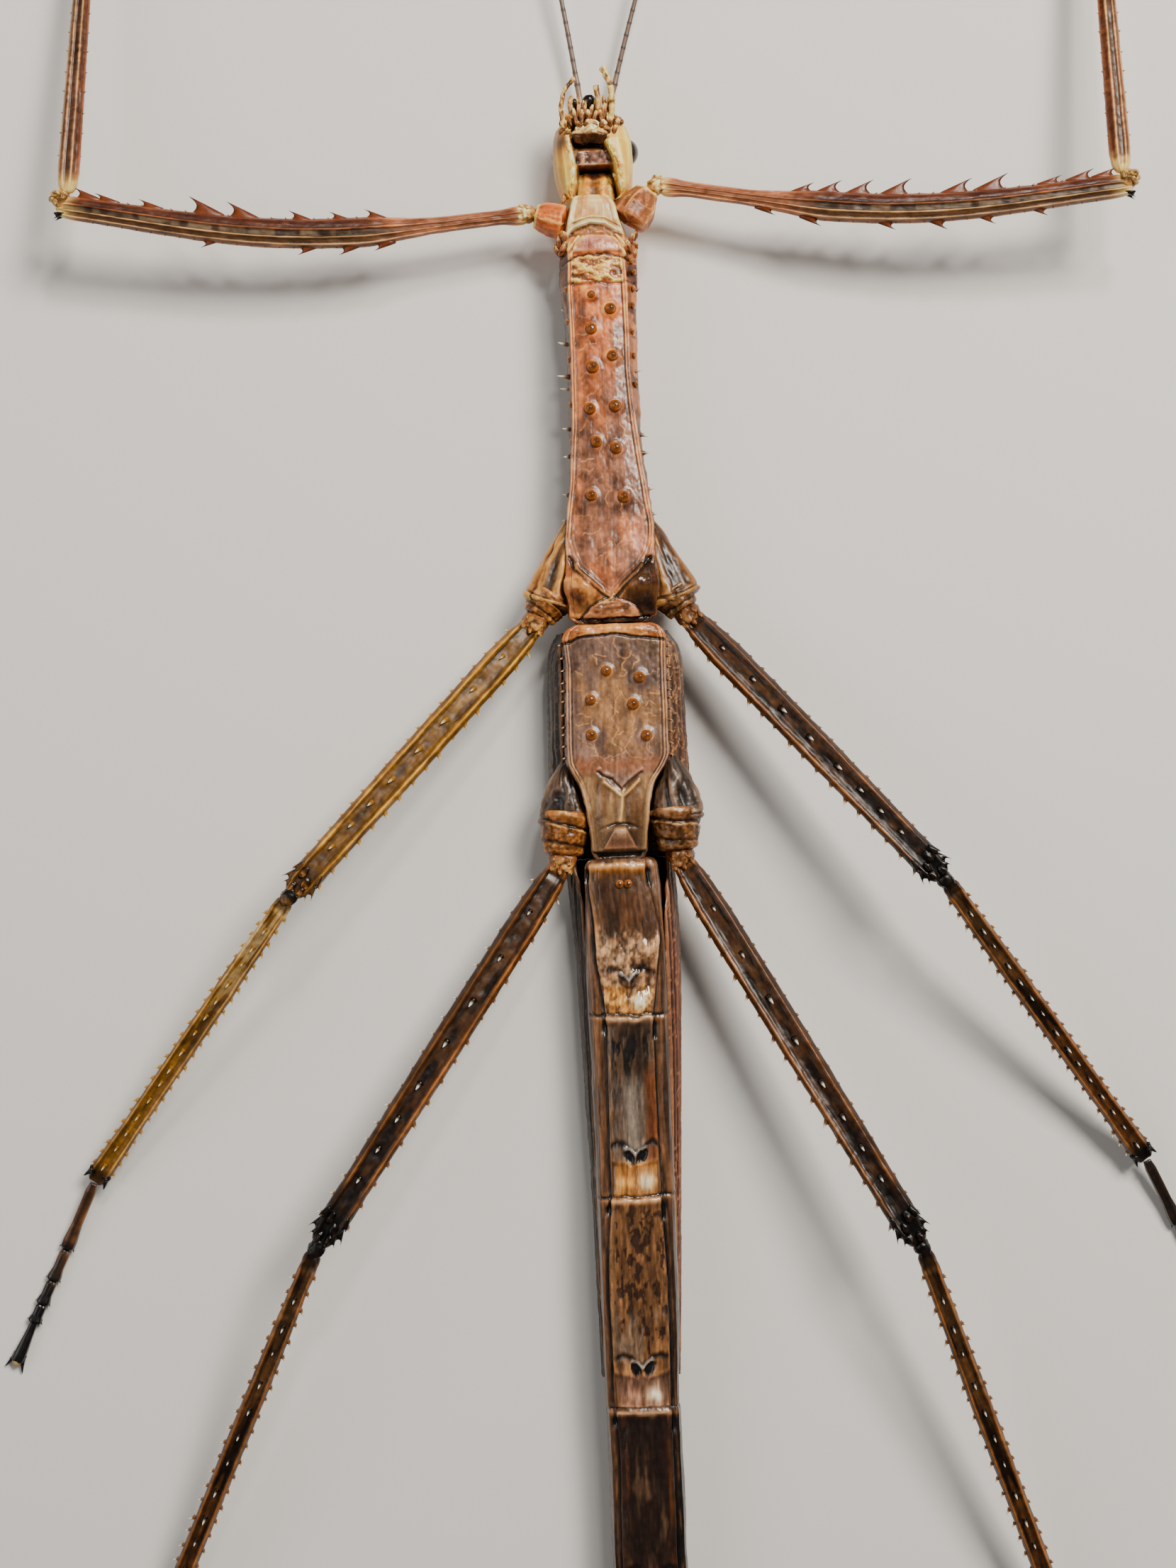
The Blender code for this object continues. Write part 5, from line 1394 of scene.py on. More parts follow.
def make_mouthparts():
    """The jaws, the lip with a painted shadow at its rear edge, many crumpled slips of skin and four short
    feelers.
    """
    bag = Bag()
    cream, pale, tan = (0.84, 0.52, 0.21, 0.34), (0.95, 0.72, 0.42, 0.3), (0.42, 0.23, 0.09, 0.36)
    brown, dark = (0.24, 0.12, 0.045, 0.38), (0.05, 0.032, 0.022, 0.22)
    bag.dome((-0.4, 67.4, 4.6), (2.6, 1.7, 2.2), (0.42, 0.26, 0.11, 0.4), rows=30, columns=48, rough=0.12)
    for x, y0, r in ((-2.0, 68.6, 0.7), (-0.35, 68.8, 0.85)):
        bag.dome((x, y0, 6.4), (r, r * 0.9, r * 1.25), dark, axis=(0.1, 0.7, 0.6), rows=24, columns=32,
                 rough=0.1, seed=int(r * 10))
    # labium: a wavy cream plate, lighter on crumple crests and darker in dips as painted light and shade,
    # with a painted shadow along its rear edge
    y = np.linspace(66.3, 64.3, 70)
    a = turns(120)
    x = np.cos(a) * table(((66.3, 1.3), (65.8, 1.7), (65.0, 2.05), (64.3, 1.9)), y)[:, None]
    z = 8.1 + 0.45 * np.sin(a) * (1 - 0.25 * (np.cos(a) ** 4)) + 0.12 * np.sin(x * 3.1 + 0.6)
    z = z - table(((66.3, 0.1), (65.2, 0.0), (64.8, 0.2), (64.3, 0.9)), y)[:, None]
    points = np.stack([x - 0.35, y[:, None] + 0.22 * np.sin(x * 2.4 + 1), z], -1)
    crumple = noise(points[..., 0] * 1.6, points[..., 1] * 1.6, seed=601, octaves=4)
    colours = mix(mix(cream, pale, step(-0.2, 0.4, crumple)), brown, step(0.25, 0.7, -crumple) * 0.7)
    colours = mix(colours, (0.14, 0.06, 0.025, 0.36), step(-65.2, -64.8, -points[..., 1] + 0.25 * crumple))
    bag.tube(points, colours, 0.22 * crumple)
    # crumpled slips of skin: centre x y z, half length, half width, lean, and how pale
    slips = ((-1.95, 66.9, 7.9, 1.0, 0.26, -0.15, 0.9), (-1.55, 67.5, 7.7, 0.9, 0.22, 0.05, 0.4),
             (-1.2, 66.9, 8.1, 0.8, 0.26, 0.12, 1.0), (-0.85, 67.6, 7.8, 0.9, 0.2, 0.1, 0.7),
             (-0.45, 66.9, 8.2, 0.75, 0.24, -0.05, 0.9), (-0.1, 67.5, 8.0, 0.85, 0.22, 0.15, 1.0),
             (0.25, 66.8, 8.1, 0.8, 0.24, 0.2, 0.7), (0.55, 67.6, 7.8, 0.8, 0.2, 0.0, 0.4),
             (0.95, 66.9, 8.0, 0.8, 0.28, -0.1, 0.9), (1.35, 67.5, 7.8, 0.95, 0.24, 0.1, 0.8),
             (-2.3, 67.7, 7.5, 0.9, 0.22, -0.05, 0.5), (-2.75, 66.8, 7.7, 0.8, 0.26, -0.3, 0.8),
             (-3.2, 66.2, 7.5, 0.7, 0.34, 0.1, 1.2), (-3.35, 65.6, 7.3, 0.5, 0.32, 0.5, 1.2),
             (-2.9, 65.3, 7.6, 0.5, 0.26, 0.7, 0.6), (-3.45, 67.0, 7.3, 0.8, 0.2, 0.2, 0.5),
             (1.15, 66.0, 8.1, 0.5, 0.4, 0.8, 1.3), (1.6, 65.5, 7.9, 0.5, 0.3, -0.6, 0.9),
             (0.9, 65.3, 7.8, 0.4, 0.26, 0.9, 0.4), (1.9, 66.4, 7.8, 0.7, 0.28, -0.2, 1.0),
             (2.3, 67.2, 7.5, 0.8, 0.26, -0.2, 0.8), (2.7, 66.2, 7.4, 0.6, 0.3, 0.3, 0.9),
             (2.5, 65.4, 7.6, 0.6, 0.24, 0.2, 0.5), (3.1, 66.7, 6.9, 0.6, 0.3, -0.4, 0.6),
             (1.9, 68.3, 7.5, 0.8, 0.24, 0.0, 0.9), (1.4, 68.6, 7.4, 0.7, 0.18, -0.1, 0.5),
             (-1.0, 68.4, 7.5, 0.6, 0.14, 0.1, 1.0), (-1.6, 68.6, 7.3, 0.6, 0.13, -0.1, 0.8),
             (0.35, 68.3, 7.4, 0.7, 0.16, 0.1, 0.9), (-2.5, 64.9, 7.5, 0.4, 0.24, 0.9, 0.3),
             (-0.7, 66.1, 8.35, 0.45, 0.26, 0.7, 1.1), (0.1, 66.0, 8.35, 0.5, 0.24, -0.8, 1.1),
             (-1.5, 66.0, 8.25, 0.45, 0.22, -0.5, 0.6))
    for i, (x, y0, z, long, wide, lean, light) in enumerate(slips):
        colour = mix(tan, mix(cream, pale, max(0.0, light - 0.7) * 1.6), min(1.0, light))
        bag.dome((x, y0, z), (wide * 1.35, wide, long), colour, axis=(lean * 1.5, 1, 0.3 * math.sin(i * 2.1)),
                 rows=26, columns=26, low=brown, rough=0.34, seed=100 + i, turn=i)
    feeler, joint = (0.42, 0.25, 0.10, 0.36), (0.80, 0.54, 0.23, 0.34)
    bead_tube(bag, ((-3.3, 65.8, 7.6), (-3.6, 67.9, 8.1), (-3.1, 69.8, 8.4), (-1.9, 71.3, 8.2)),
              (0.26, 0.28, 0.26, 0.22), shade(feeler, 0.7), joint)
    bead_tube(bag, ((2.0, 66.3, 7.8), (2.35, 68.4, 8.2), (2.15, 70.3, 8.5), (1.35, 72.4, 8.3)),
              (0.32, 0.34, 0.36, 0.4), joint, shade(feeler, 0.8))
    bead_tube(bag, ((0.7, 67.0, 7.8), (0.75, 68.8, 8.2), (0.55, 70.4, 8.1)), (0.28, 0.3, 0.36), feeler, joint)
    bead_tube(bag, ((-2.2, 66.9, 7.6), (-2.6, 68.4, 7.6), (-2.3, 69.5, 7.3)), (0.24, 0.24, 0.2),
              shade(feeler, 0.8), joint)
    piece("mouthparts", bag, SOFT, ["jaws", "lower_lip", "palp_left", "palp_right"])


def make_eyes():
    """An eye in each eye node's box."""
    for name in ("left", "right"):
        low, high = (np.array(v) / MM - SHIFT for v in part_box("eye_" + name))
        bag = Bag()
        bag.dome((low + high) / 2, (high - low) / 2 * (1.02, 1.02, 1.0), (0.01, 0.01, 0.01, 0.2), rows=24,
                 columns=32)
        piece("compound_eye_" + name, bag, EYE, ["eye_" + name])


FEELER_STRIDE = 9.85  # mm from one point of a feeler's route to the next


def make_antennae():
    """Two long ringed feelers."""
    for name, base, bearing, bend in (("left", (1.6, 68.0, 2.0), 74.4, -6.0),
                                      ("right", (-0.9, 68.0, 2.0), 98.0, 6.0)):
        route = [np.array(base)]
        for i, rise in enumerate((4.0, 5.0, 0.0, -4.0, -4.0)):
            a, e = math.radians(bearing + bend * i / 4), math.radians(rise)
            route.append(route[-1] + FEELER_STRIDE
                         * np.array([math.cos(a) * math.cos(e), math.sin(a) * math.cos(e), math.sin(e)]))
        bag = Bag()
        t = np.linspace(0, 1, 420)
        centre = smooth_route(route, t, 24)
        size = np.interp(t, (0, 0.03, 0.06, 0.09, 0.12, 1), (0.5, 0.5, 0.32, 0.36, 0.29, 0.18))
        joints = np.abs((t * 34) % 1 - 0.5) * 2
        size = size * (1 + 0.12 * step(0.75, 1, joints))
        size[-1] *= 0.3
        points = round_rows(centre, size, 14)
        grey = np.broadcast_to(joints[:, None], points.shape[:2])
        colours = mix((0.20, 0.15, 0.12, 0.45), (0.10, 0.075, 0.06, 0.45), step(0.6, 0.95, grey))
        colours = mix(colours, (0.4, 0.27, 0.14, 0.4), (1 - step(0.04, 0.09, t))[:, None] * 0.8 + 0 * grey)
        bag.tube(points, colours)
        piece("feeler_" + name, bag, SHELL, ["antenna_" + name])


# ---------------------------------------------------------------- wings

WING_TINTS = {  # between the veins, and on them
    ("wing_cover", "right"): ((0.032, 0.016, 0.009, 0.38), (0.15, 0.085, 0.045, 0.36)),
    ("wing_cover", "left"): ((0.13, 0.068, 0.036, 0.4), (0.33, 0.2, 0.11, 0.36)),
    ("wing", "right"): ((0.035, 0.018, 0.01, 0.4), (0.12, 0.065, 0.04, 0.38)),
    ("wing", "left"): ((0.14, 0.066, 0.04, 0.4), (0.27, 0.155, 0.095, 0.38)),
}


def make_wings():
    """The wing covers and hind wings, folded against the body's sides with their front edges turned up."""
    cover = ((9.0, 6.3, 5.4, 3.0), (7.8, 7.2, 5.95, 5.4), (5.5, 7.65, 6.05, 6.6), (-2.0, 7.75, 6.1, 6.9),
             (-7.0, 7.9, 6.3, 6.2), (-9.5, 8.0, 6.6, 4.0), (-13.0, 7.9, 6.6, 2.8), (-17.0, 6.6, 5.6, 2.4))
    wing = {
        -1: ((-17.2, 6.4, 5.5, 4.6), (-21, 6.1, 4.7, 5.8), (-28, 5.55, 4.3, 6.3), (-36, 5.35, 4.2, 6.3),
             (-43, 5.2, 4.2, 6.0), (-51, 4.9, 4.2, 5.5), (-59, 4.7, 4.2, 4.6), (-76.8, 4.5, 4.2, 2.5)),
        1: ((-17.2, 6.0, 5.4, 4.6), (-22, 6.3, 4.9, 5.9), (-28, 6.4, 4.6, 6.4), (-38, 6.1, 4.5, 6.4),
            (-48, 5.7, 4.5, 6.0), (-60, 5.2, 4.5, 5.0), (-70, 4.85, 4.5, 3.8), (-76.8, 4.5, 4.3, 2.5)),
    }
    for label, spacing in (("wing_cover", 0.16), ("wing", 0.28)):
        for s, side in ((1, "left"), (-1, "right")):
            rows = cover if label == "wing_cover" else wing[s]
            bag = Bag()
            y = np.linspace(rows[0][0], rows[-1][0], int((rows[0][0] - rows[-1][0]) / spacing))
            outer, inner, top = (blur(v, 4) for v in table(rows, y))
            if label == "wing_cover" and s > 0:
                outer = outer + 0.3 * step(0, 3, rows[0][0] - y)
            zero, t = 0 * y, 0.45
            corners = [
                (zero + 0.1, zero + 0.02), (outer * 0.5, zero + 0.02), (outer - 1.3, zero + 0.05),
                (outer - 0.35, zero + 0.45), (outer, zero + 1.3), (outer - 0.02, 0.5 * top),
                (outer - 0.3 * (outer - inner), 0.8 * top), (inner + 0.15, top), (inner - 0.1, top + 0.02),
                (inner - 0.15, top - 0.3), (outer - 0.35 * (outer - inner) - t, 0.74 * top),
                (outer - t, 0.46 * top), (outer - t, zero + 1.45), (outer - 1.4, zero + t),
                (outer * 0.5, zero + t), (zero + 0.1, zero + t),
            ]
            section = ring(corners, (10, 10, 6, 5, 8, 12, 14, 3, 3, 10, 8, 6, 6, 6, 6, 3), 0.7)
            section[..., 0] *= s
            points = trunk(y, section)
            X, Y, Z = (points[..., i] for i in range(3))
            seed = 700 + (10 if s > 0 else 0) + (20 if label == "wing" else 0)
            outside = np.abs(X)
            run = Z * 0.9 - outside * 0.8
            if label == "wing":
                ribs = np.cos(run * 8 + 0.5 * noise(run, Y * 0.1, seed=seed + 5))
                net = np.maximum(veins(run, Y, 0.8, 1.5, seed, 0.1), step(0.75, 1, ribs) * 0.6)
            else:
                ribs = np.cos(run * 4.4 + 1.4 * noise(run, Y * 0.25, seed=seed + 5))
                net = np.maximum(veins(run, Y, 1.1, 0.75, seed, 0.14),
                                 veins(run, Y, 0.5, 1.6, seed + 3, 0.1) * 0.8)
            relief = ((0.07 * ribs + 0.06 * net + 0.06 * noise(X * 0.8, Y * 0.8, Z * 0.8, seed + 1))
                      * step(0.3, 1.2, Z))
            colours = mix(*WING_TINTS[label, side], net * 0.85)
            colours = shade(colours, 1 + 0.4 * noise(X * 0.7, Y * 0.25, Z * 0.7, seed + 2))
            rim = step(-0.35, 0.0, Z - top[:, None])
            colours = mix(colours, (0.30, 0.18, 0.10, 0.32), rim * 0.6)
            bag.tube(points, colours, relief)
            piece(f"{label}_{side}_skin", bag, WING, [f"{label}_{side}"])


# ---------------------------------------------------------------- legs

END_DEPTH = 0.35  # mm, how far from a limb node's very end its points count as that end


def node_points(node):
    """The corners of a CAD node, in body-frame mm."""
    return np.array([v.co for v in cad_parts[node].data.vertices]) / MM - SHIFT


def ends_of(node):
    """The middles of a limb node's two ends."""
    points = node_points(node)
    middle = points.mean(0)
    way = np.linalg.svd(points - middle, full_matrices=False)[2][0]
    place = (points - middle) @ way
    return points[place < place.min() + END_DEPTH].mean(0), points[place > place.max() - END_DEPTH].mean(0)


def nearest_first(pair, target):
    """The two points, the one nearer the target first."""
    return sorted(pair, key=lambda p: np.linalg.norm(p - np.asarray(target)))


LEGS = {
    "fore_right": {"coxa": ((-3.5, 55.5, 6.2), (-7.0, 56.5, 6.0)), "radii": (2.1, 1.7),
                   "hip": (-7.4, 56.6, 6.0)},
    "fore_left": {"coxa": ((3.6, 55.2, 6.4), (6.1, 58.9, 6.1)), "radii": (2.5, 1.8), "hip": (7.1, 59.3, 6.0)},
    "mid_right": {"coxa": ((-6.9, 13.0, 6.2), (-8.5, 10.6, 6.4)), "radii": (2.35, 2.05),
                  "hip": (-8.8, 10.1, 6.5)},
    "mid_left": {"coxa": ((6.9, 13.0, 6.2), (8.4, 10.8, 6.4)), "radii": (2.35, 2.05),
                 "hip": (8.7, 10.3, 6.5)},
    "hind_right": {"coxa": ((-6.1, -12.0, 6.0), (-6.6, -16.6, 6.4)), "radii": (2.75, 2.45),
                   "hip": (-6.8, -17.3, 6.5)},
    "hind_left": {"coxa": ((6.2, -12.0, 6.0), (6.6, -16.6, 6.4)), "radii": (2.75, 2.45),
                  "hip": (6.8, -17.3, 6.5)},
}
FORE_FEMUR = ((0.0, 0.9, 0.9), (0.012, 1.2, 1.1), (0.035, 1.1, 1.05), (0.05, 0.85, 0.9), (0.2, 0.92, 0.95),
              (0.27, 1.25, 1.1), (0.34, 1.72, 1.3), (0.6, 1.66, 1.35), (0.88, 1.4, 1.25), (0.97, 1.35, 1.2),
              (1.0, 1.0, 1.0))
FORE_TIBIA = ((0.0, 0.9, 0.85), (0.03, 1.2, 1.05), (0.06, 1.25, 1.1), (0.35, 1.05, 0.95), (0.9, 0.85, 0.8),
              (1.0, 0.95, 0.85))
WALK_FEMUR = ((0.0, 1.0, 0.95), (0.012, 1.42, 1.25), (0.04, 1.6, 1.35), (0.15, 1.88, 1.45), (0.5, 1.84, 1.4),
              (0.85, 1.66, 1.3), (0.93, 1.7, 1.4), (0.97, 1.45, 1.25), (1.0, 0.9, 0.85))
WALK_TIBIA = ((0.0, 0.8, 0.75), (0.03, 1.15, 1.0), (0.06, 1.0, 0.95), (0.3, 1.2, 1.05), (0.8, 1.15, 1.0),
              (0.96, 1.35, 1.1), (1.0, 1.0, 0.85))


FORE_LEG = {
    "edge": (0.33, 0.165, 0.08, 0.28), "band": (0.22, 0.10, 0.055, 0.28), "channel": (0.20, 0.13, 0.09, 0.3),
    "spot": (0.10, 0.06, 0.04, 0.3), "pale": (0.50, 0.33, 0.18, 0.3), "back": (0.22, 0.085, 0.04, 0.3),
}
GOLDEN_LEG = {
    "edge": (0.46, 0.29, 0.10, 0.28), "band": (0.27, 0.155, 0.04, 0.32), "channel": (0.34, 0.20, 0.045, 0.34),
    "spot": (0.17, 0.095, 0.022, 0.34), "pale": (0.62, 0.48, 0.27, 0.32), "back": (0.11, 0.055, 0.018, 0.3),
    # tip: the thorns' pale tips, partly their own colour and partly a painted glint
    "thorn": (0.34, 0.20, 0.045, 0.34), "tip": (0.75, 0.62, 0.4, 0.26),
    "knee": (0.17, 0.10, 0.04, 0.26), "knee_edge": (0.06, 0.03, 0.012, 0.26),
}
DARK_LEG = {
    "edge": (0.27, 0.145, 0.06, 0.24), "band": (0.19, 0.095, 0.038, 0.26),
    "channel": (0.16, 0.085, 0.036, 0.3),
    "spot": (0.035, 0.021, 0.013, 0.28), "pale": (0.28, 0.18, 0.09, 0.3), "back": (0.07, 0.03, 0.013, 0.3),
    # tip: the thorns' pale tips, partly their own colour and partly a painted glint
    "thorn": (0.035, 0.021, 0.013, 0.28), "tip": (0.88, 0.84, 0.74, 0.2),
    "knee": (0.03, 0.018, 0.012, 0.24), "knee_edge": BLACK,
}
PALETTES = {
    "fore_right": FORE_LEG, "fore_left": FORE_LEG, "mid_right": GOLDEN_LEG,
    "mid_left": DARK_LEG, "hind_right": DARK_LEG, "hind_left": DARK_LEG,
}


def walking_section(p):
    """A flat dark channel between two rounded edges on top, and a two-keeled underside."""
    e, b, c, k = p["edge"], p["band"], p["channel"], p["back"]
    corners = [
        (1.0, 0.05, *e), (0.95, 0.3, *b), (0.8, 0.58, *b), (0.68, 0.73, *e), (0.56, 0.66, *b),
        (0.44, 0.58, *c), (0.1, 0.54, *c), (-0.22, 0.54, *c), (-0.48, 0.58, *c), (-0.6, 0.66, *b),
        (-0.72, 0.73, *e), (-0.84, 0.56, *b), (-0.96, 0.28, *b), (-1.0, 0.02, *e), (-0.9, -0.14, *k),
        (-0.78, -0.72, *k), (-0.62, -0.92, *e), (-0.45, -0.8, *k), (0.0, -0.95, *k), (0.45, -0.8, *k),
        (0.62, -0.92, *e), (0.78, -0.72, *k), (0.9, -0.14, *k),
    ]
    counts = (4, 5, 3, 3, 3, 6, 6, 5, 3, 3, 3, 5, 4, 3, 4, 3, 3, 4, 4, 3, 3, 4, 3)
    return corners, counts


COXA_TINTS = {  # (fore, right): the skin, its lit creases, its shadows, and the second joint
    (True, True): ((0.66, 0.25, 0.095, 0.3), (0.90, 0.56, 0.24, 0.3), (0.34, 0.12, 0.035, 0.32),
                   (0.80, 0.60, 0.32, 0.32)),
    (True, False): ((0.44, 0.22, 0.115, 0.32), (0.90, 0.56, 0.24, 0.3), (0.24, 0.11, 0.05, 0.34),
                    (0.80, 0.60, 0.32, 0.32)),
    (False, True): ((0.30, 0.155, 0.06, 0.22), (0.60, 0.40, 0.19, 0.22), (0.06, 0.028, 0.012, 0.3),
                    (0.44, 0.27, 0.12, 0.28)),
    (False, False): ((0.21, 0.12, 0.06, 0.22), (0.55, 0.39, 0.23, 0.24), (0.06, 0.028, 0.012, 0.3),
                     (0.28, 0.165, 0.08, 0.26)),
}


def coxa(bag, name):
    """The stout first joint and the crumpled second one, from the body to the femur."""
    fore, right = name.startswith("fore"), name.endswith("right")
    leg = LEGS[name]
    first, last = leg["radii"]
    start, end = (np.array(p) for p in leg["coxa"])
    if fore:
        sizes = ((0, first * 0.85, first * 0.85), (0.12, first, first), (0.45, first * 0.98, first * 0.98),
                 (0.8, last, last), (1, last * 0.7, last * 0.7))
    else:
        start = start - (end - start) * 0.12
        sizes = ((0, first, first), (0.1, first * 1.1, first), (0.3, first * 1.05, first),
                 (0.62, last * 1.06, last * 1.05), (0.9, last * 0.92, last * 0.92),
                 (1, last * 0.6, last * 0.6))
    body = Limb(start, end, sizes)
    main, edge, deep, knuckle = COXA_TINTS[fore, right]
    angle = math.tau * np.arange(16) / 16
    corners = [(math.cos(a), math.sin(a), *main) for a in angle]

    def bend(t, x, z):
        return t + 0.07 * noise(x * 0.9, z * 0.9, t * 2, 805 + (0 if right else 4)) + 0.16 * x * (1 - t)

    def relief(t, x, z, q):
        lumps = cloud(q, 0.9, 801 + int(fore))
        if fore:
            around = np.arctan2(z, x)
            facets = 0.17 * np.abs(np.cos(around * 2.5 + 0.4 * lumps)) ** 0.6
            return -facets + 0.14 * bump(t - 0.93, 0.05) + 0.06 * lumps
        bent = bend(t, x, z)
        folds = sum(h * bump(bent - c, w) for c, w, h in ((0.08, 0.12, 0.12), (0.3, 0.04, -0.1),
                                                          (0.36, 0.04, 0.08), (0.7, 0.04, -0.06)))
        return folds + 0.14 * lumps + 0.05 * cloud(q, 3, 804)

    def paint(t, x, z, q, colours):
        lumps = cloud(q, 1.1, 803)
        colours = shade(colours, 1 + 0.4 * lumps)
        if fore:
            around = np.arctan2(z, x)
            crease = 1 - step(0.0, 0.16, np.abs(np.cos(around * 2.5 + 0.4 * lumps)))
            scratches = veins(q[..., 0] + q[..., 2], q[..., 1], 0.9, 0.9, 806, 0.06) * step(0.2, 0.8, z)
            return layer(
                colours,
                (deep, step(0.1, 0.9, lumps) * 0.5),
                (edge, np.clip(crease * 0.45 + scratches * 0.4, 0, 1)),
                (edge, bump(t - 0.95, 0.06) * 0.8),
            )
        bent = bend(t, x, z)
        lit = bump(bent - 0.05, 0.035) + bump(bent - 0.36, 0.03) + 0.7 * bump(bent - 0.77, 0.04)
        dark = bump(bent - 0.29, 0.04) + 0.8 * bump(bent - 0.7, 0.04) + 0.6 * step(0.3, 0.8, lumps)
        return layer(
            colours,
            (edge, np.clip(lit, 0, 1) * step(-0.5, 0.4, lumps) * 0.7),
            (deep, np.clip(dark, 0, 1) * 0.85),
        )

    body.skin(bag, 76, corners, (6,) * 16, relief, paint, 1.0, 2.0, (0.05, 0.12))
    hip = np.array(leg["hip"])
    knuckle = np.array(knuckle)
    shadow = knuckle * (0.45, 0.36, 0.28, 1)
    way = hip - end
    way = way / np.linalg.norm(way)
    cross = np.cross(way, (0, 0, 1))
    size = 1.0 if fore else 1.5
    middle = end + way * (0.75 if fore else 0.3)
    bag.dome(middle, (size * 1.05, size * 0.95, size * 1.05), knuckle, axis=(way[0], way[1], 0.5), rows=34,
             columns=44, low=shadow, rough=0.16, seed=31)
    for k, (ahead, across, lift, r) in enumerate(((0.55, 0.62, 0.42, 0.5), (0.5, -0.68, 0.35, 0.52),
                                                  (0.75, 0.0, 0.62, 0.42), (0.0, -0.5, 0.75, 0.4),
                                                  (-0.1, 0.55, 0.7, 0.38))):
        lump = middle + way * ahead * size + cross * across * size + np.array([0, 0, lift * size])
        bag.dome(lump, (r, r * 0.62, r * 1.25), knuckle * (1.15, 1.1, 1.05, 1),
                 axis=(way[0] + 0.3 * cross[0] * across, way[1], 0.25), rows=16, columns=20, low=shadow,
                 rough=0.3, seed=40 + k, turn=k)


def thorn_row(bag, limb, shares, x, z, length, radius, out, colour, tip, lean=0.45, seed=1):
    """A row of short thorns along a limb's ridge, each pointing out and on along the limb."""
    wobble = noise(np.asarray(shares) * 91.7, 0.5, 0.5, seed, 1)
    for share, w in zip(shares, wobble):
        base = limb.point(share + 0.006 * w, x * 0.93, z * 0.93)
        size = length * (1 + 0.4 * w)
        way = limb.side * out[0] + limb.up * out[1]
        bag.spike(base, base + way * (size + 0.15) + limb.way * size * lean, radius * (1 + 0.25 * w), colour,
                  tip, sides=7, hook=limb.way * size * 0.2)


def leg_ends(name):
    """The two ends of a leg's femur and the two of its tibia, outwards from the body."""
    start, knee = nearest_first(ends_of(name + "_femur"), LEGS[name]["hip"])
    return start, knee, *nearest_first(ends_of(name + "_tibia"), knee)


def fore_relief(t, x, z, q):
    """The uneven skin of a fore leg."""
    return 0.04 * cloud(q, (0.8, 2, 2), 821)


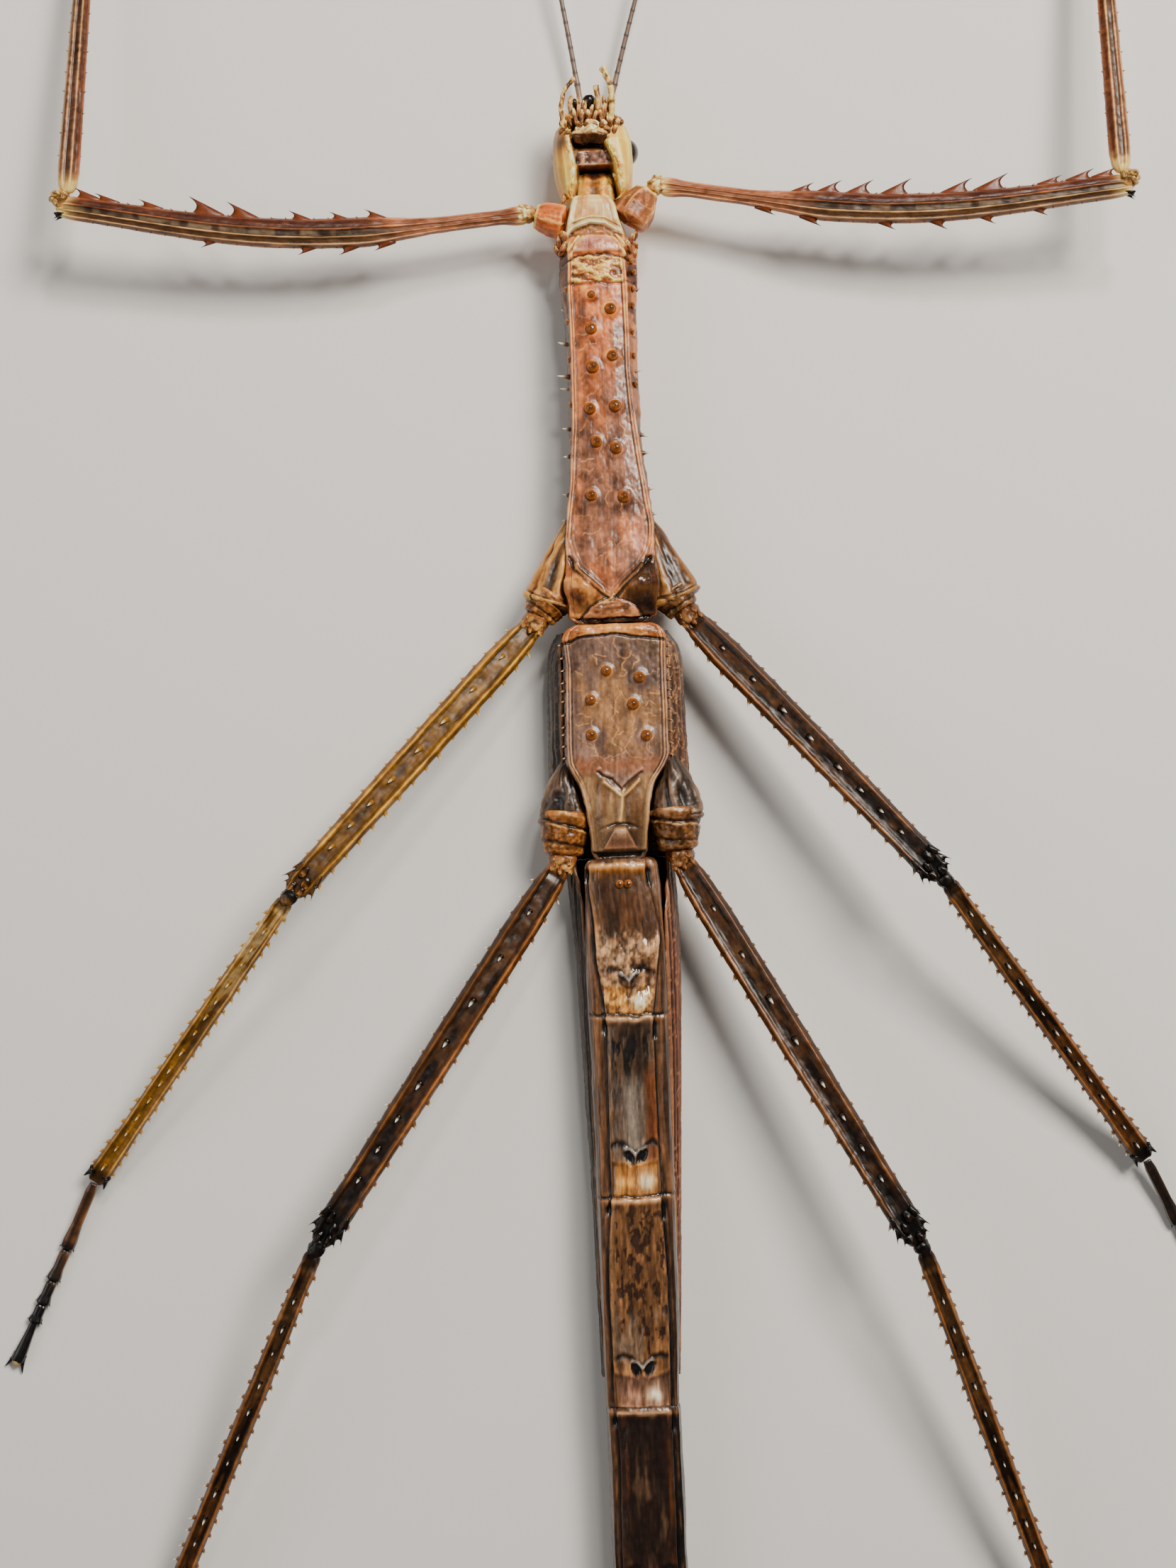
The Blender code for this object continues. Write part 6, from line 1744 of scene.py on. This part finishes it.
def fore_femur(name, s, p, start, knee):
    """The bowed femur of a fore leg, with fins on both edges, and its coxa."""
    femur = Limb(start, knee, FORE_FEMUR, -s, 2.6, (0, -1, 0))
    if femur.side[1] < 0:
        femur.side = -femur.side
    e, b, c, k, pale = (p[part] for part in ("edge", "band", "channel", "back", "pale"))
    olive = (0.25, 0.15, 0.085, 0.26)
    corners = [
        (1.0, 0.1, *b), (0.8, 0.5, *b), (0.5, 0.66, *b), (0.3, 0.7, *k), (0.18, 0.78, *e), (0.08, 0.64, *c),
        (-0.26, 0.64, *c), (-0.36, 0.8, *pale), (-0.46, 0.66, *olive), (-0.72, 0.58, *olive),
        (-0.82, 0.68, *pale), (-0.92, 0.4, *e), (-1.0, 0.1, *e), (-0.95, -0.3, *k), (-0.7, -0.85, *k),
        (-0.4, -0.95, *e), (0.0, -0.85, *k), (0.4, -0.95, *e), (0.7, -0.85, *k), (0.95, -0.3, *k),
    ]
    counts = (5, 5, 4, 3, 3, 7, 3, 3, 5, 3, 3, 4, 4, 4, 3, 3, 3, 3, 4, 4)

    def paint(t, x, z, q, colours):
        top = step(0.3, 0.6, z)
        base = 1 - step(0.24, 0.36, t)
        colours = mix(colours, (0.56, 0.28, 0.16, 0.3), base * 0.75)
        channel = top * window(x, -0.3, 0.12, 0.04) * step(0.30, 0.42, t)
        spots = (step(-0.5, 0.9, 0.8 * np.sin(t * 53 * 3.6) + 2.4 * noise(t * 30, x, 0.5, 822, 3))
                 * (1 - step(0.93, 0.97, t)))
        colours = layer(
            colours,
            (p["spot"], channel * spots * 0.5),
            ((0.44, 0.33, 0.22, 0.34), channel * (1 - spots) * 0.6),
        )
        edges = (step(0.8, 0.92, np.abs(x)) * window(t, 0.28, 0.95, 0.05)
                 * step(-0.5, 0.1, noise(t * 11, x * 2, z, 826, 3)))
        colours = mix(colours, (0.15, 0.065, 0.035, 0.28), edges * 0.6)
        colours = shade(colours, 1 + 0.32 * cloud(q, (0.35, 1.6, 1.6), 823))
        dark = (step(0.12, 0.25, x) * top * window(t, 0.38, 0.93, 0.05)
                * step(-0.5, 0.2, noise(t * 9, x * 2, 0.5, 824, 2)))
        return layer(
            colours,
            ((0.13, 0.06, 0.045, 0.28), dark * 0.7),
            ((0.64, 0.47, 0.22, 0.3), step(0.94, 0.985, t + 0.02 * noise(x * 3, z * 3, t, 825)) * 0.8),
            ((0.60, 0.42, 0.2, 0.3), (1 - step(0.012, 0.035, t)) * 0.8),
        )

    bag = Bag()
    femur.skin(bag, 280, corners, counts, fore_relief, paint, 0.7, 3.0, (0.012, 0.015))
    front = ((0.315, 0.9), (0.371, 1.2), (0.435, 1.45), (0.513, 1.7), (0.642, 1.5), (0.715, 1.75),
             (0.837, 0.8), (0.901, 1.1), (0.951, 0.9))
    rear = ((0.239, 0.6), (0.335, 0.75), (0.493, 0.7), (0.601, 0.8), (0.703, 0.7), (0.813, 0.55))
    if name == "fore_right":
        front = ((0.341, 0.8), (0.417, 0.7), (0.501, 0.9), (0.625, 1.6), (0.702, 1.85), (0.816, 0.8),
                 (0.907, 0.8), (0.948, 1.1))
        rear = ((0.323, 0.7), (0.397, 0.8), (0.485, 0.7), (0.689, 0.6))
    amber, brown = (0.25, 0.10, 0.045, 0.26), (0.085, 0.035, 0.02, 0.28)
    for teeth, side in ((front, 1), (rear, -1)):
        for share, height in teeth:
            base = femur.point(share - 0.008, side * 0.9, 0.05)
            bag.fin(base, femur.way, femur.side * side, 1.9 + height * (1.15 if side > 0 else 0.8),
                    height + 0.18, 0.34, amber, brown)
    for share in np.linspace(0.36, 0.93, 20):
        for x, z in ((0.9, 0.2), (-0.9, 0.2)):
            base = femur.point(share + 0.01 * x, x, z)
            bag.spike(base, base + femur.side * np.sign(x) * 0.26 + femur.way * 0.15, 0.14, p["edge"],
                      p["edge"], sides=6)
    coxa(bag, name)
    piece(name + "_femur_shell", bag, LEG, [name + "_femur", name + "_coxa"])
    return femur


def fore_tibia(name, s, p, femur, start, ankle):
    """The straight four-edged tibia of a fore leg, and its knee."""
    bag = Bag()
    e, b, c, k, pale = (p[part] for part in ("edge", "band", "channel", "back", "pale"))
    tibia = Limb(start, ankle, FORE_TIBIA, 1.0)
    if tibia.side[0] * s < 0:
        tibia.side = -tibia.side
    corners = [
        (1.0, 0.1, *pale), (0.82, 0.46, *pale), (0.6, 0.66, *b), (0.4, 0.78, *pale), (0.2, 0.64, *b),
        (-0.1, 0.68, *c), (-0.36, 0.8, *pale), (-0.55, 0.62, *b), (-0.85, 0.4, *b), (-1.0, 0.1, *e),
        (-0.92, -0.4, *k), (-0.6, -0.9, *k), (0.0, -0.85, *e), (0.6, -0.9, *k), (0.92, -0.4, *k),
    ]

    def paint(t, x, z, q, colours):
        colours = shade(colours, 1 + 0.35 * cloud(q, (1.6, 0.3, 1.6), 831))
        top = step(0.3, 0.6, z)
        return layer(
            colours,
            ((0.36, 0.21, 0.15, 0.24),
             top * window(x, -0.5, 0.5, 0.1) * step(-0.3, 0.3, noise(t * 12, x, 0.5, 832)) * 0.5),
            ((0.62, 0.45, 0.2, 0.3), (1 - step(0.01, 0.05, t)) * 0.8),
            ((0.10, 0.05, 0.025, 0.3), step(0.975, 0.995, t) * 0.8),
        )

    tibia.skin(bag, 260, corners, (5, 4, 4, 4, 5, 4, 4, 5, 4, 4, 5, 5, 5, 5, 4), fore_relief, paint, 0.8, 3.0,
               (0.02, 0.008))
    gold, dark = np.array((0.52, 0.35, 0.16, 0.28)), np.array((0.16, 0.08, 0.03, 0.3))
    middle = (femur.end + start) / 2
    bag.dome(middle, (1.0, 1.1, 1.0), gold * (0.8, 0.75, 0.7, 1), rows=30, columns=40, low=dark, rough=0.12,
             seed=3)
    for k, (a, o, z, r) in enumerate(((0.5, 0.5, 0.6, 0.55), (0.6, -0.4, 0.7, 0.5), (-0.5, 0.3, 0.75, 0.5),
                                      (0.9, 0.1, 0.1, 0.5))):
        bag.dome(middle + femur.way * a + femur.side * o + np.array([0, 0, z]), (r, r * 0.7, r * 1.1),
                 gold * (1.1, 1.1, 1.1, 1), rows=14, columns=18, low=dark, rough=0.25, seed=50 + k, turn=k)
    for k in range(2):
        cross = femur.side * (-0.95) + femur.up * (0.5 - 0.9 * k)
        base = femur.end - femur.way * 0.3 + cross
        bag.fin(base, femur.way, femur.side * -1, 1.3, 0.55, 0.3, DARK, BLACK)
    for side in (1, -1):
        thorn_row(bag, tibia, np.linspace(0.08, 0.95, 22), side, 0.1, 0.15, 0.11, (side, 0.0), e, pale,
                  seed=833)
    piece(name + "_tibia_shell", bag, LEG, [name + "_tibia"])


def fore_leg(name, s):
    """A fore leg. s is 1 on the insect's left and -1 on its right."""
    p = PALETTES[name]
    start, knee, tibia_start, ankle = leg_ends(name)
    femur = fore_femur(name, s, p, start, knee)
    fore_tibia(name, s, p, femur, tibia_start, ankle)
    make_foot(name, ankle, 0.62, 0.5)


def walking_relief(t, x, z, q):
    """The uneven skin of a walking leg, with a neck near its start."""
    return 0.05 * cloud(q, 1, 841) - 0.1 * bump(t - 0.03, 0.008)


def walking_femur(name, s, p, start, knee):
    """The flat femur of a middle or hind leg, with rows of thorns, a spiny knee and its coxa."""
    golden = p is GOLDEN_LEG
    femur = Limb(start, knee, WALK_FEMUR, -s)
    corners, counts = walking_section(p)

    def paint(t, x, z, q, colours):
        top = step(0.3, 0.5, z)
        channel = top * window(x, -0.52, 0.48, 0.04)
        blotch = step(-0.15, 0.3, noise(t * 10, x * 1.4, z, 842, 3) + (0.0 if golden else 0.08))
        colours = mix(colours, p["spot"], channel * blotch * (0.7 if golden else 0.85))
        patch = channel * window(t, 0.06, 0.4, 0.05) * step(0.1, 0.5, noise(t * 15, x * 1.6, 0.5, 843, 3))
        colours = mix(colours, p["pale"], patch * 0.3)
        colours = shade(colours, 1 + 0.45 * noise(t * 16, x * 2.2, z * 2.2, 844))
        band = (1 - channel) * step(0.1, 0.35, noise(t * 8, x * 1.6, z * 1.6, 845, 3))
        colours = mix(colours, p["channel"], band * 0.65)
        inner = step(0.3, 0.9, x) * (0.0 if golden else 0.45)
        colours = shade(colours, 1 - inner)
        knee_dark = step(0.84, 0.95, t + 0.05 * noise(t * 30, x * 2, z * 2, 846, 3))
        knee_colour = (0.06, 0.035, 0.016, 0.26) if golden else BLACK
        return layer(
            colours,
            (knee_colour, knee_dark * (0.6 if golden else 0.92)),
            (p["band"], (1 - step(0.02, 0.06, t)) * 0.8),
        )

    bag = Bag()
    femur.skin(bag, 240, corners, counts, walking_relief, paint, 0.7, 2.5, (0.014, 0.015))
    e, tip, dark = p["edge"], p["tip"], p["thorn"]
    thorn_row(bag, femur, np.linspace(0.07, 0.93, 17), -1, 0.05, 0.5, 0.28, (-1, 0.15), e, tip, seed=851)
    thorn_row(bag, femur, np.linspace(0.06, 0.93, 20), 1, 0.05, 0.34, 0.2, (1, 0.15), e, tip, seed=852)
    thorn_row(bag, femur, (0.13, 0.25, 0.36, 0.47, 0.58, 0.67, 0.75, 0.83), 0.08, 0.52, 0.6, 0.3, (0.05, 1.0),
              dark, tip, lean=1.0, seed=853)
    for turn, seed in ((1, 856), (-1, 857)):
        thorn_row(bag, femur, np.linspace(0.12, 0.9, 12), 0.62 * turn, -0.9, 0.3, 0.18, (0.5 * turn, -0.8), e,
                  tip, seed=seed)
    knee_tint, knee_edge = np.array(p["knee"]), p["knee_edge"]
    for way in (-1, 1):
        for share, lift, height, width in ((0.955, 0.15, 0.85, 2.3), (0.93, 0.7, 0.4, 1.6),
                                           (0.975, 0.4, 0.5, 1.4)):
            base = femur.point(share, way * 0.82, lift)
            out = femur.side * way * 0.94 + femur.up * (0.1 + 0.5 * (lift > 0.5))
            out = out - femur.way * (out @ femur.way)
            bag.fin(base, femur.way, out / np.linalg.norm(out), width, height, 0.4, knee_tint, knee_edge)
    for k, (t, x, z, r) in enumerate(((0.93, 0.3, 0.9, 0.55), (0.95, -0.3, 0.95, 0.5), (0.98, 0.35, 0.8, 0.5),
                                      (0.975, -0.45, 0.7, 0.5))):
        bag.dome(femur.point(t, x, z * 0.85), (r, r * 0.7, r * 1.3), knee_tint * (1.6, 1.5, 1.4, 1),
                 axis=(*femur.way[:2], 0.4), rows=16, columns=20, low=knee_edge, rough=0.3, seed=60 + k,
                 turn=k)
    coxa(bag, name)
    piece(name + "_femur_shell", bag, LEG, [name + "_femur", name + "_coxa"])
    return femur


def walking_tibia(name, s, p, femur, start, ankle):
    """The tibia of a middle or hind leg, with rows of thorns."""
    golden = p is GOLDEN_LEG
    e, tip, dark = p["edge"], p["tip"], p["thorn"]
    bag = Bag()
    tibia = Limb(start, ankle, WALK_TIBIA, -s)
    corners, counts = walking_section(p)

    def paint(t, x, z, q, colours):
        top = step(0.3, 0.5, z)
        channel = top * window(x, -0.52, 0.48, 0.04)
        blotch = step(-0.25, 0.3, noise(t * 13, x * 1.2, z, 861, 3))
        colours = mix(colours, p["spot"], channel * blotch * (0.6 if golden else 0.85))
        colours = shade(colours, 1 + 0.45 * noise(t * 18, x * 2.2, z * 2.2, 862))
        pale = (1 - step(0.2, 0.5, t)) * step(-0.1, 0.3, noise(t * 7, x * 1.6, 0.5, 863, 3))
        colours = mix(colours, p["pale"], pale * (0.75 if golden else 0.4))
        ends = np.maximum(1 - step(0.01, 0.035, t), step(0.93, 0.97, t))
        return mix(colours, BLACK if not golden else (0.06, 0.035, 0.015, 0.3), ends * 0.85)

    tibia.skin(bag, 260, corners, counts, walking_relief, paint, 0.7, 2.5, (0.015, 0.01))
    count = 28 if name.startswith("hind") else 24
    thorn_row(bag, tibia, np.linspace(0.05, 0.95, count), -1, 0.05, 0.4, 0.24, (-1, 0.2), e, tip, lean=0.8,
              seed=871)
    thorn_row(bag, tibia, np.linspace(0.06, 0.95, count), 1, 0.05, 0.38, 0.24, (1, 0.2), e, tip, lean=0.8,
              seed=872)
    thorn_row(bag, tibia, np.linspace(0.1, 0.93, 15), 0.0, 0.55, 0.42, 0.22, (0.0, 1.0), dark, tip, lean=1.0,
              seed=873)
    for turn, seed in ((1, 874), (-1, 875)):
        thorn_row(bag, tibia, np.linspace(0.08, 0.95, 18), 0.62 * turn, -0.9, 0.25, 0.15, (0.5 * turn, -0.8),
                  e, tip, 0.6, seed)
    for way in (-1, 1):
        base = tibia.point(0.965, way * 0.7, 0.4)
        bag.spike(base, base + tibia.way * 1.5 + tibia.side * way * 0.5, 0.42, BLACK, BLACK, sides=10)
    bag.dome((femur.end + start) / 2, (0.95, 0.9, 1.0), p["knee"], axis=(*femur.way[:2], 0.3), rows=24,
             columns=30, low=BLACK, rough=0.2, seed=8)
    piece(name + "_tibia_shell", bag, LEG, [name + "_tibia"])


def walking_leg(name, s):
    """A middle or hind leg. s is 1 on the insect's left and -1 on its right."""
    p = PALETTES[name]
    start, knee, tibia_start, ankle = leg_ends(name)
    femur = walking_femur(name, s, p, start, knee)
    walking_tibia(name, s, p, femur, tibia_start, ankle)
    make_foot(name, ankle, 0.75, 0.62)


def make_foot(name, ankle, radius, foot_height):
    """Five tarsal joints, soft pads under them, an end pad and two claws."""
    points = node_points(name + "_tarsus")
    far = points[np.argmax(np.linalg.norm(points - ankle, axis=1))]
    length = {"fore": 21.0, "mid": 23.0, "hind": 24.0}[name.split("_")[0]]
    middle = points.mean(0)
    flat = np.linalg.svd((points - middle)[:, :2], full_matrices=False)[2][0]
    way = np.array([*flat, 0.0]) * np.sign(np.dot(flat, (far - ankle)[:2]))
    side = np.cross(way, (0, 0, 1))
    golden = name == "mid_right"
    fore = name.startswith("fore")
    first = (0.16, 0.085, 0.035, 0.32) if golden or fore else (0.06, 0.035, 0.02, 0.3)

    def middle_at(share):
        """The foot's middle line: it comes down from the ankle and runs level."""
        height = table(((0, 2.2), (0.38, foot_height + 0.1), (1, foot_height + 0.15)), share)
        flat_way = np.array([*ankle[:2], 0.0]) + way * (0.2 + length * np.asarray(share))[..., None]
        return flat_way + np.array([0, 0, 1.0]) * np.asarray(height)[..., None]

    bag = Bag()
    shares = (0.0, 0.38, 0.55, 0.68, 0.78, 1.0)
    for i, (a, b) in enumerate(zip(shares, shares[1:])):
        rows = 60 if i in (0, 4) else 30
        t = np.linspace(0, 1, rows)
        at = a + (b - a) * t + 0.004
        centre = middle_at(at)
        wide = (radius
                * table(((0, 0.62), (0.12, 0.86), (0.6, 0.84), (0.85, 1.12), (0.95, 1.1), (1.0, 0.7)), t))
        if i == 4:
            wide = radius * table(((0, 0.6), (0.3, 0.72), (0.8, 1.0), (0.95, 0.95), (1.0, 0.5)), t)
        angle = turns(26)
        deep = wide * 0.86
        points = (centre[:, None] + side * (np.cos(angle) * wide[:, None])[..., None]
                  + np.array([0, 0, 1.0]) * (np.sin(angle) * deep[:, None])[..., None])
        ridge = 0.07 * (bump(angle - 0.7, 0.2) + bump(angle - 2.44, 0.2)) - 0.07 * bump(angle - 1.57, 0.3)
        dark = mix(first, BLACK,
                   np.broadcast_to(step(0.1, 0.8, t * 0.35 + i * 0.25)[:, None], points.shape[:2]))
        dark = mix(dark, BLACK, np.broadcast_to(step(0.8, 0.95, t)[:, None], points.shape[:2]) * 0.8)
        dark = shade(dark, 1 + 0.4 * cloud(points, 1, 881))
        dark = mix(dark, (0.35, 0.26, 0.15, 0.5),
                   bump(angle + 0 * t[:, None] - 4.71, 0.5) * step(0.6, 0.85, t)[:, None] * 0.8)
        bag.tube(points, dark, ridge + 0 * t[:, None])
    end = np.array([*ankle[:2], 0.0]) + way * (0.2 + length * 0.985)
    end[2] = foot_height + 0.1
    bag.dome(end + way * 0.35, (0.62, 0.62, 0.5), (0.42, 0.33, 0.18, 0.4), rows=12, columns=18,
             low=(0.1, 0.06, 0.03, 0.4))
    for turn in (-1, 1):
        base = end - way * 0.5 + side * (turn * 0.35)
        bag.spike(base, end + way * 1.55 + side * (turn * 1.1), 0.38, BLACK, (0.03, 0.015, 0.008, 0.2),
                  hook=(0, 0, -0.35), sides=10, fade=0.8)
    for i in range(5):
        for turn in (-1, 1):
            base = middle_at(shares[i + 1] - 0.02) + side * (turn * radius * 0.8)
            bag.spike(base, base + side * turn * 0.35 + way * 0.5, 0.16, BLACK, BLACK, sides=6)
    piece(name + "_foot", bag, SHELL, [name + "_tarsus"])


# ---------------------------------------------------------------- stage

CAMERA_PLACE = np.array([-3.46, -8.35, 253.8])  # mm, in the body's frame
CAMERA_ROLL = -2.257  # degrees


def make_stage():
    """The pale floor, three area lights, the dim world and the camera."""
    scene = bpy.context.scene
    world = bpy.data.worlds.new("studio")
    scene.world = world
    world.use_nodes = True
    background = world.node_tree.nodes["Background"]
    settings(background, color=(1.0, 0.97, 0.93, 1), strength=0.12)
    bpy.ops.mesh.primitive_plane_add(size=6, location=(0, 0, 0))
    floor = bpy.context.object
    floor.name = "studio_floor"
    floor.data.materials.append(glossy("studio_floor", base_color=(0.80, 0.79, 0.77, 1), roughness=0.8)[0])
    for name, place, power, size, colour in (("key", (0.26, 0.30, 0.50), 4.7, 0.20, (1.0, 0.93, 0.83)),
                                             ("fill", (-0.45, 0.05, 0.45), 0.95, 0.4, (1.0, 0.97, 0.93)),
                                             ("glint", (0.08, 0.35, 0.40), 0.7, 0.05, (1.0, 0.96, 0.9))):
        data = bpy.data.lights.new(name, "AREA")
        data.energy, data.size, data.color = power, size, colour
        lamp = bpy.data.objects.new(name, data)
        lamp.location = place
        lamp.rotation_euler = (-Vector(place)).to_track_quat("-Z", "Y").to_euler()
        scene.collection.objects.link(lamp)
    data = bpy.data.cameras.new("camera")
    data.lens, data.sensor_width, data.clip_start = 50, 36, 0.005
    camera = bpy.data.objects.new("camera", data)
    camera.location = Vector((CAMERA_PLACE + SHIFT) * MM)
    camera.rotation_euler = (0, 0, math.radians(CAMERA_ROLL))
    scene.collection.objects.link(camera)
    scene.camera = camera


def main():
    make_stage()
    make_mesothorax()
    make_metathorax()
    abdomen_piece("abdomen_front", 2, 4, 0.1875, ["abdomen_2", "abdomen_3", "abdomen_4"])
    abdomen_piece("abdomen_middle", 5, 7, 0.25, ["abdomen_5", "abdomen_6", "abdomen_7"])
    abdomen_piece("abdomen_rear", 8, 10, 0.1875,
                  ["abdomen_8", "abdomen_9", "abdomen_10", "operculum", "cercus_left", "cercus_right"])
    make_front_thorax()
    make_head()
    make_mouthparts()
    make_eyes()
    make_antennae()
    make_wings()
    for name in LEGS:
        (fore_leg if name.startswith("fore") else walking_leg)(name, 1 if name.endswith("left") else -1)
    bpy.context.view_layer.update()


main()
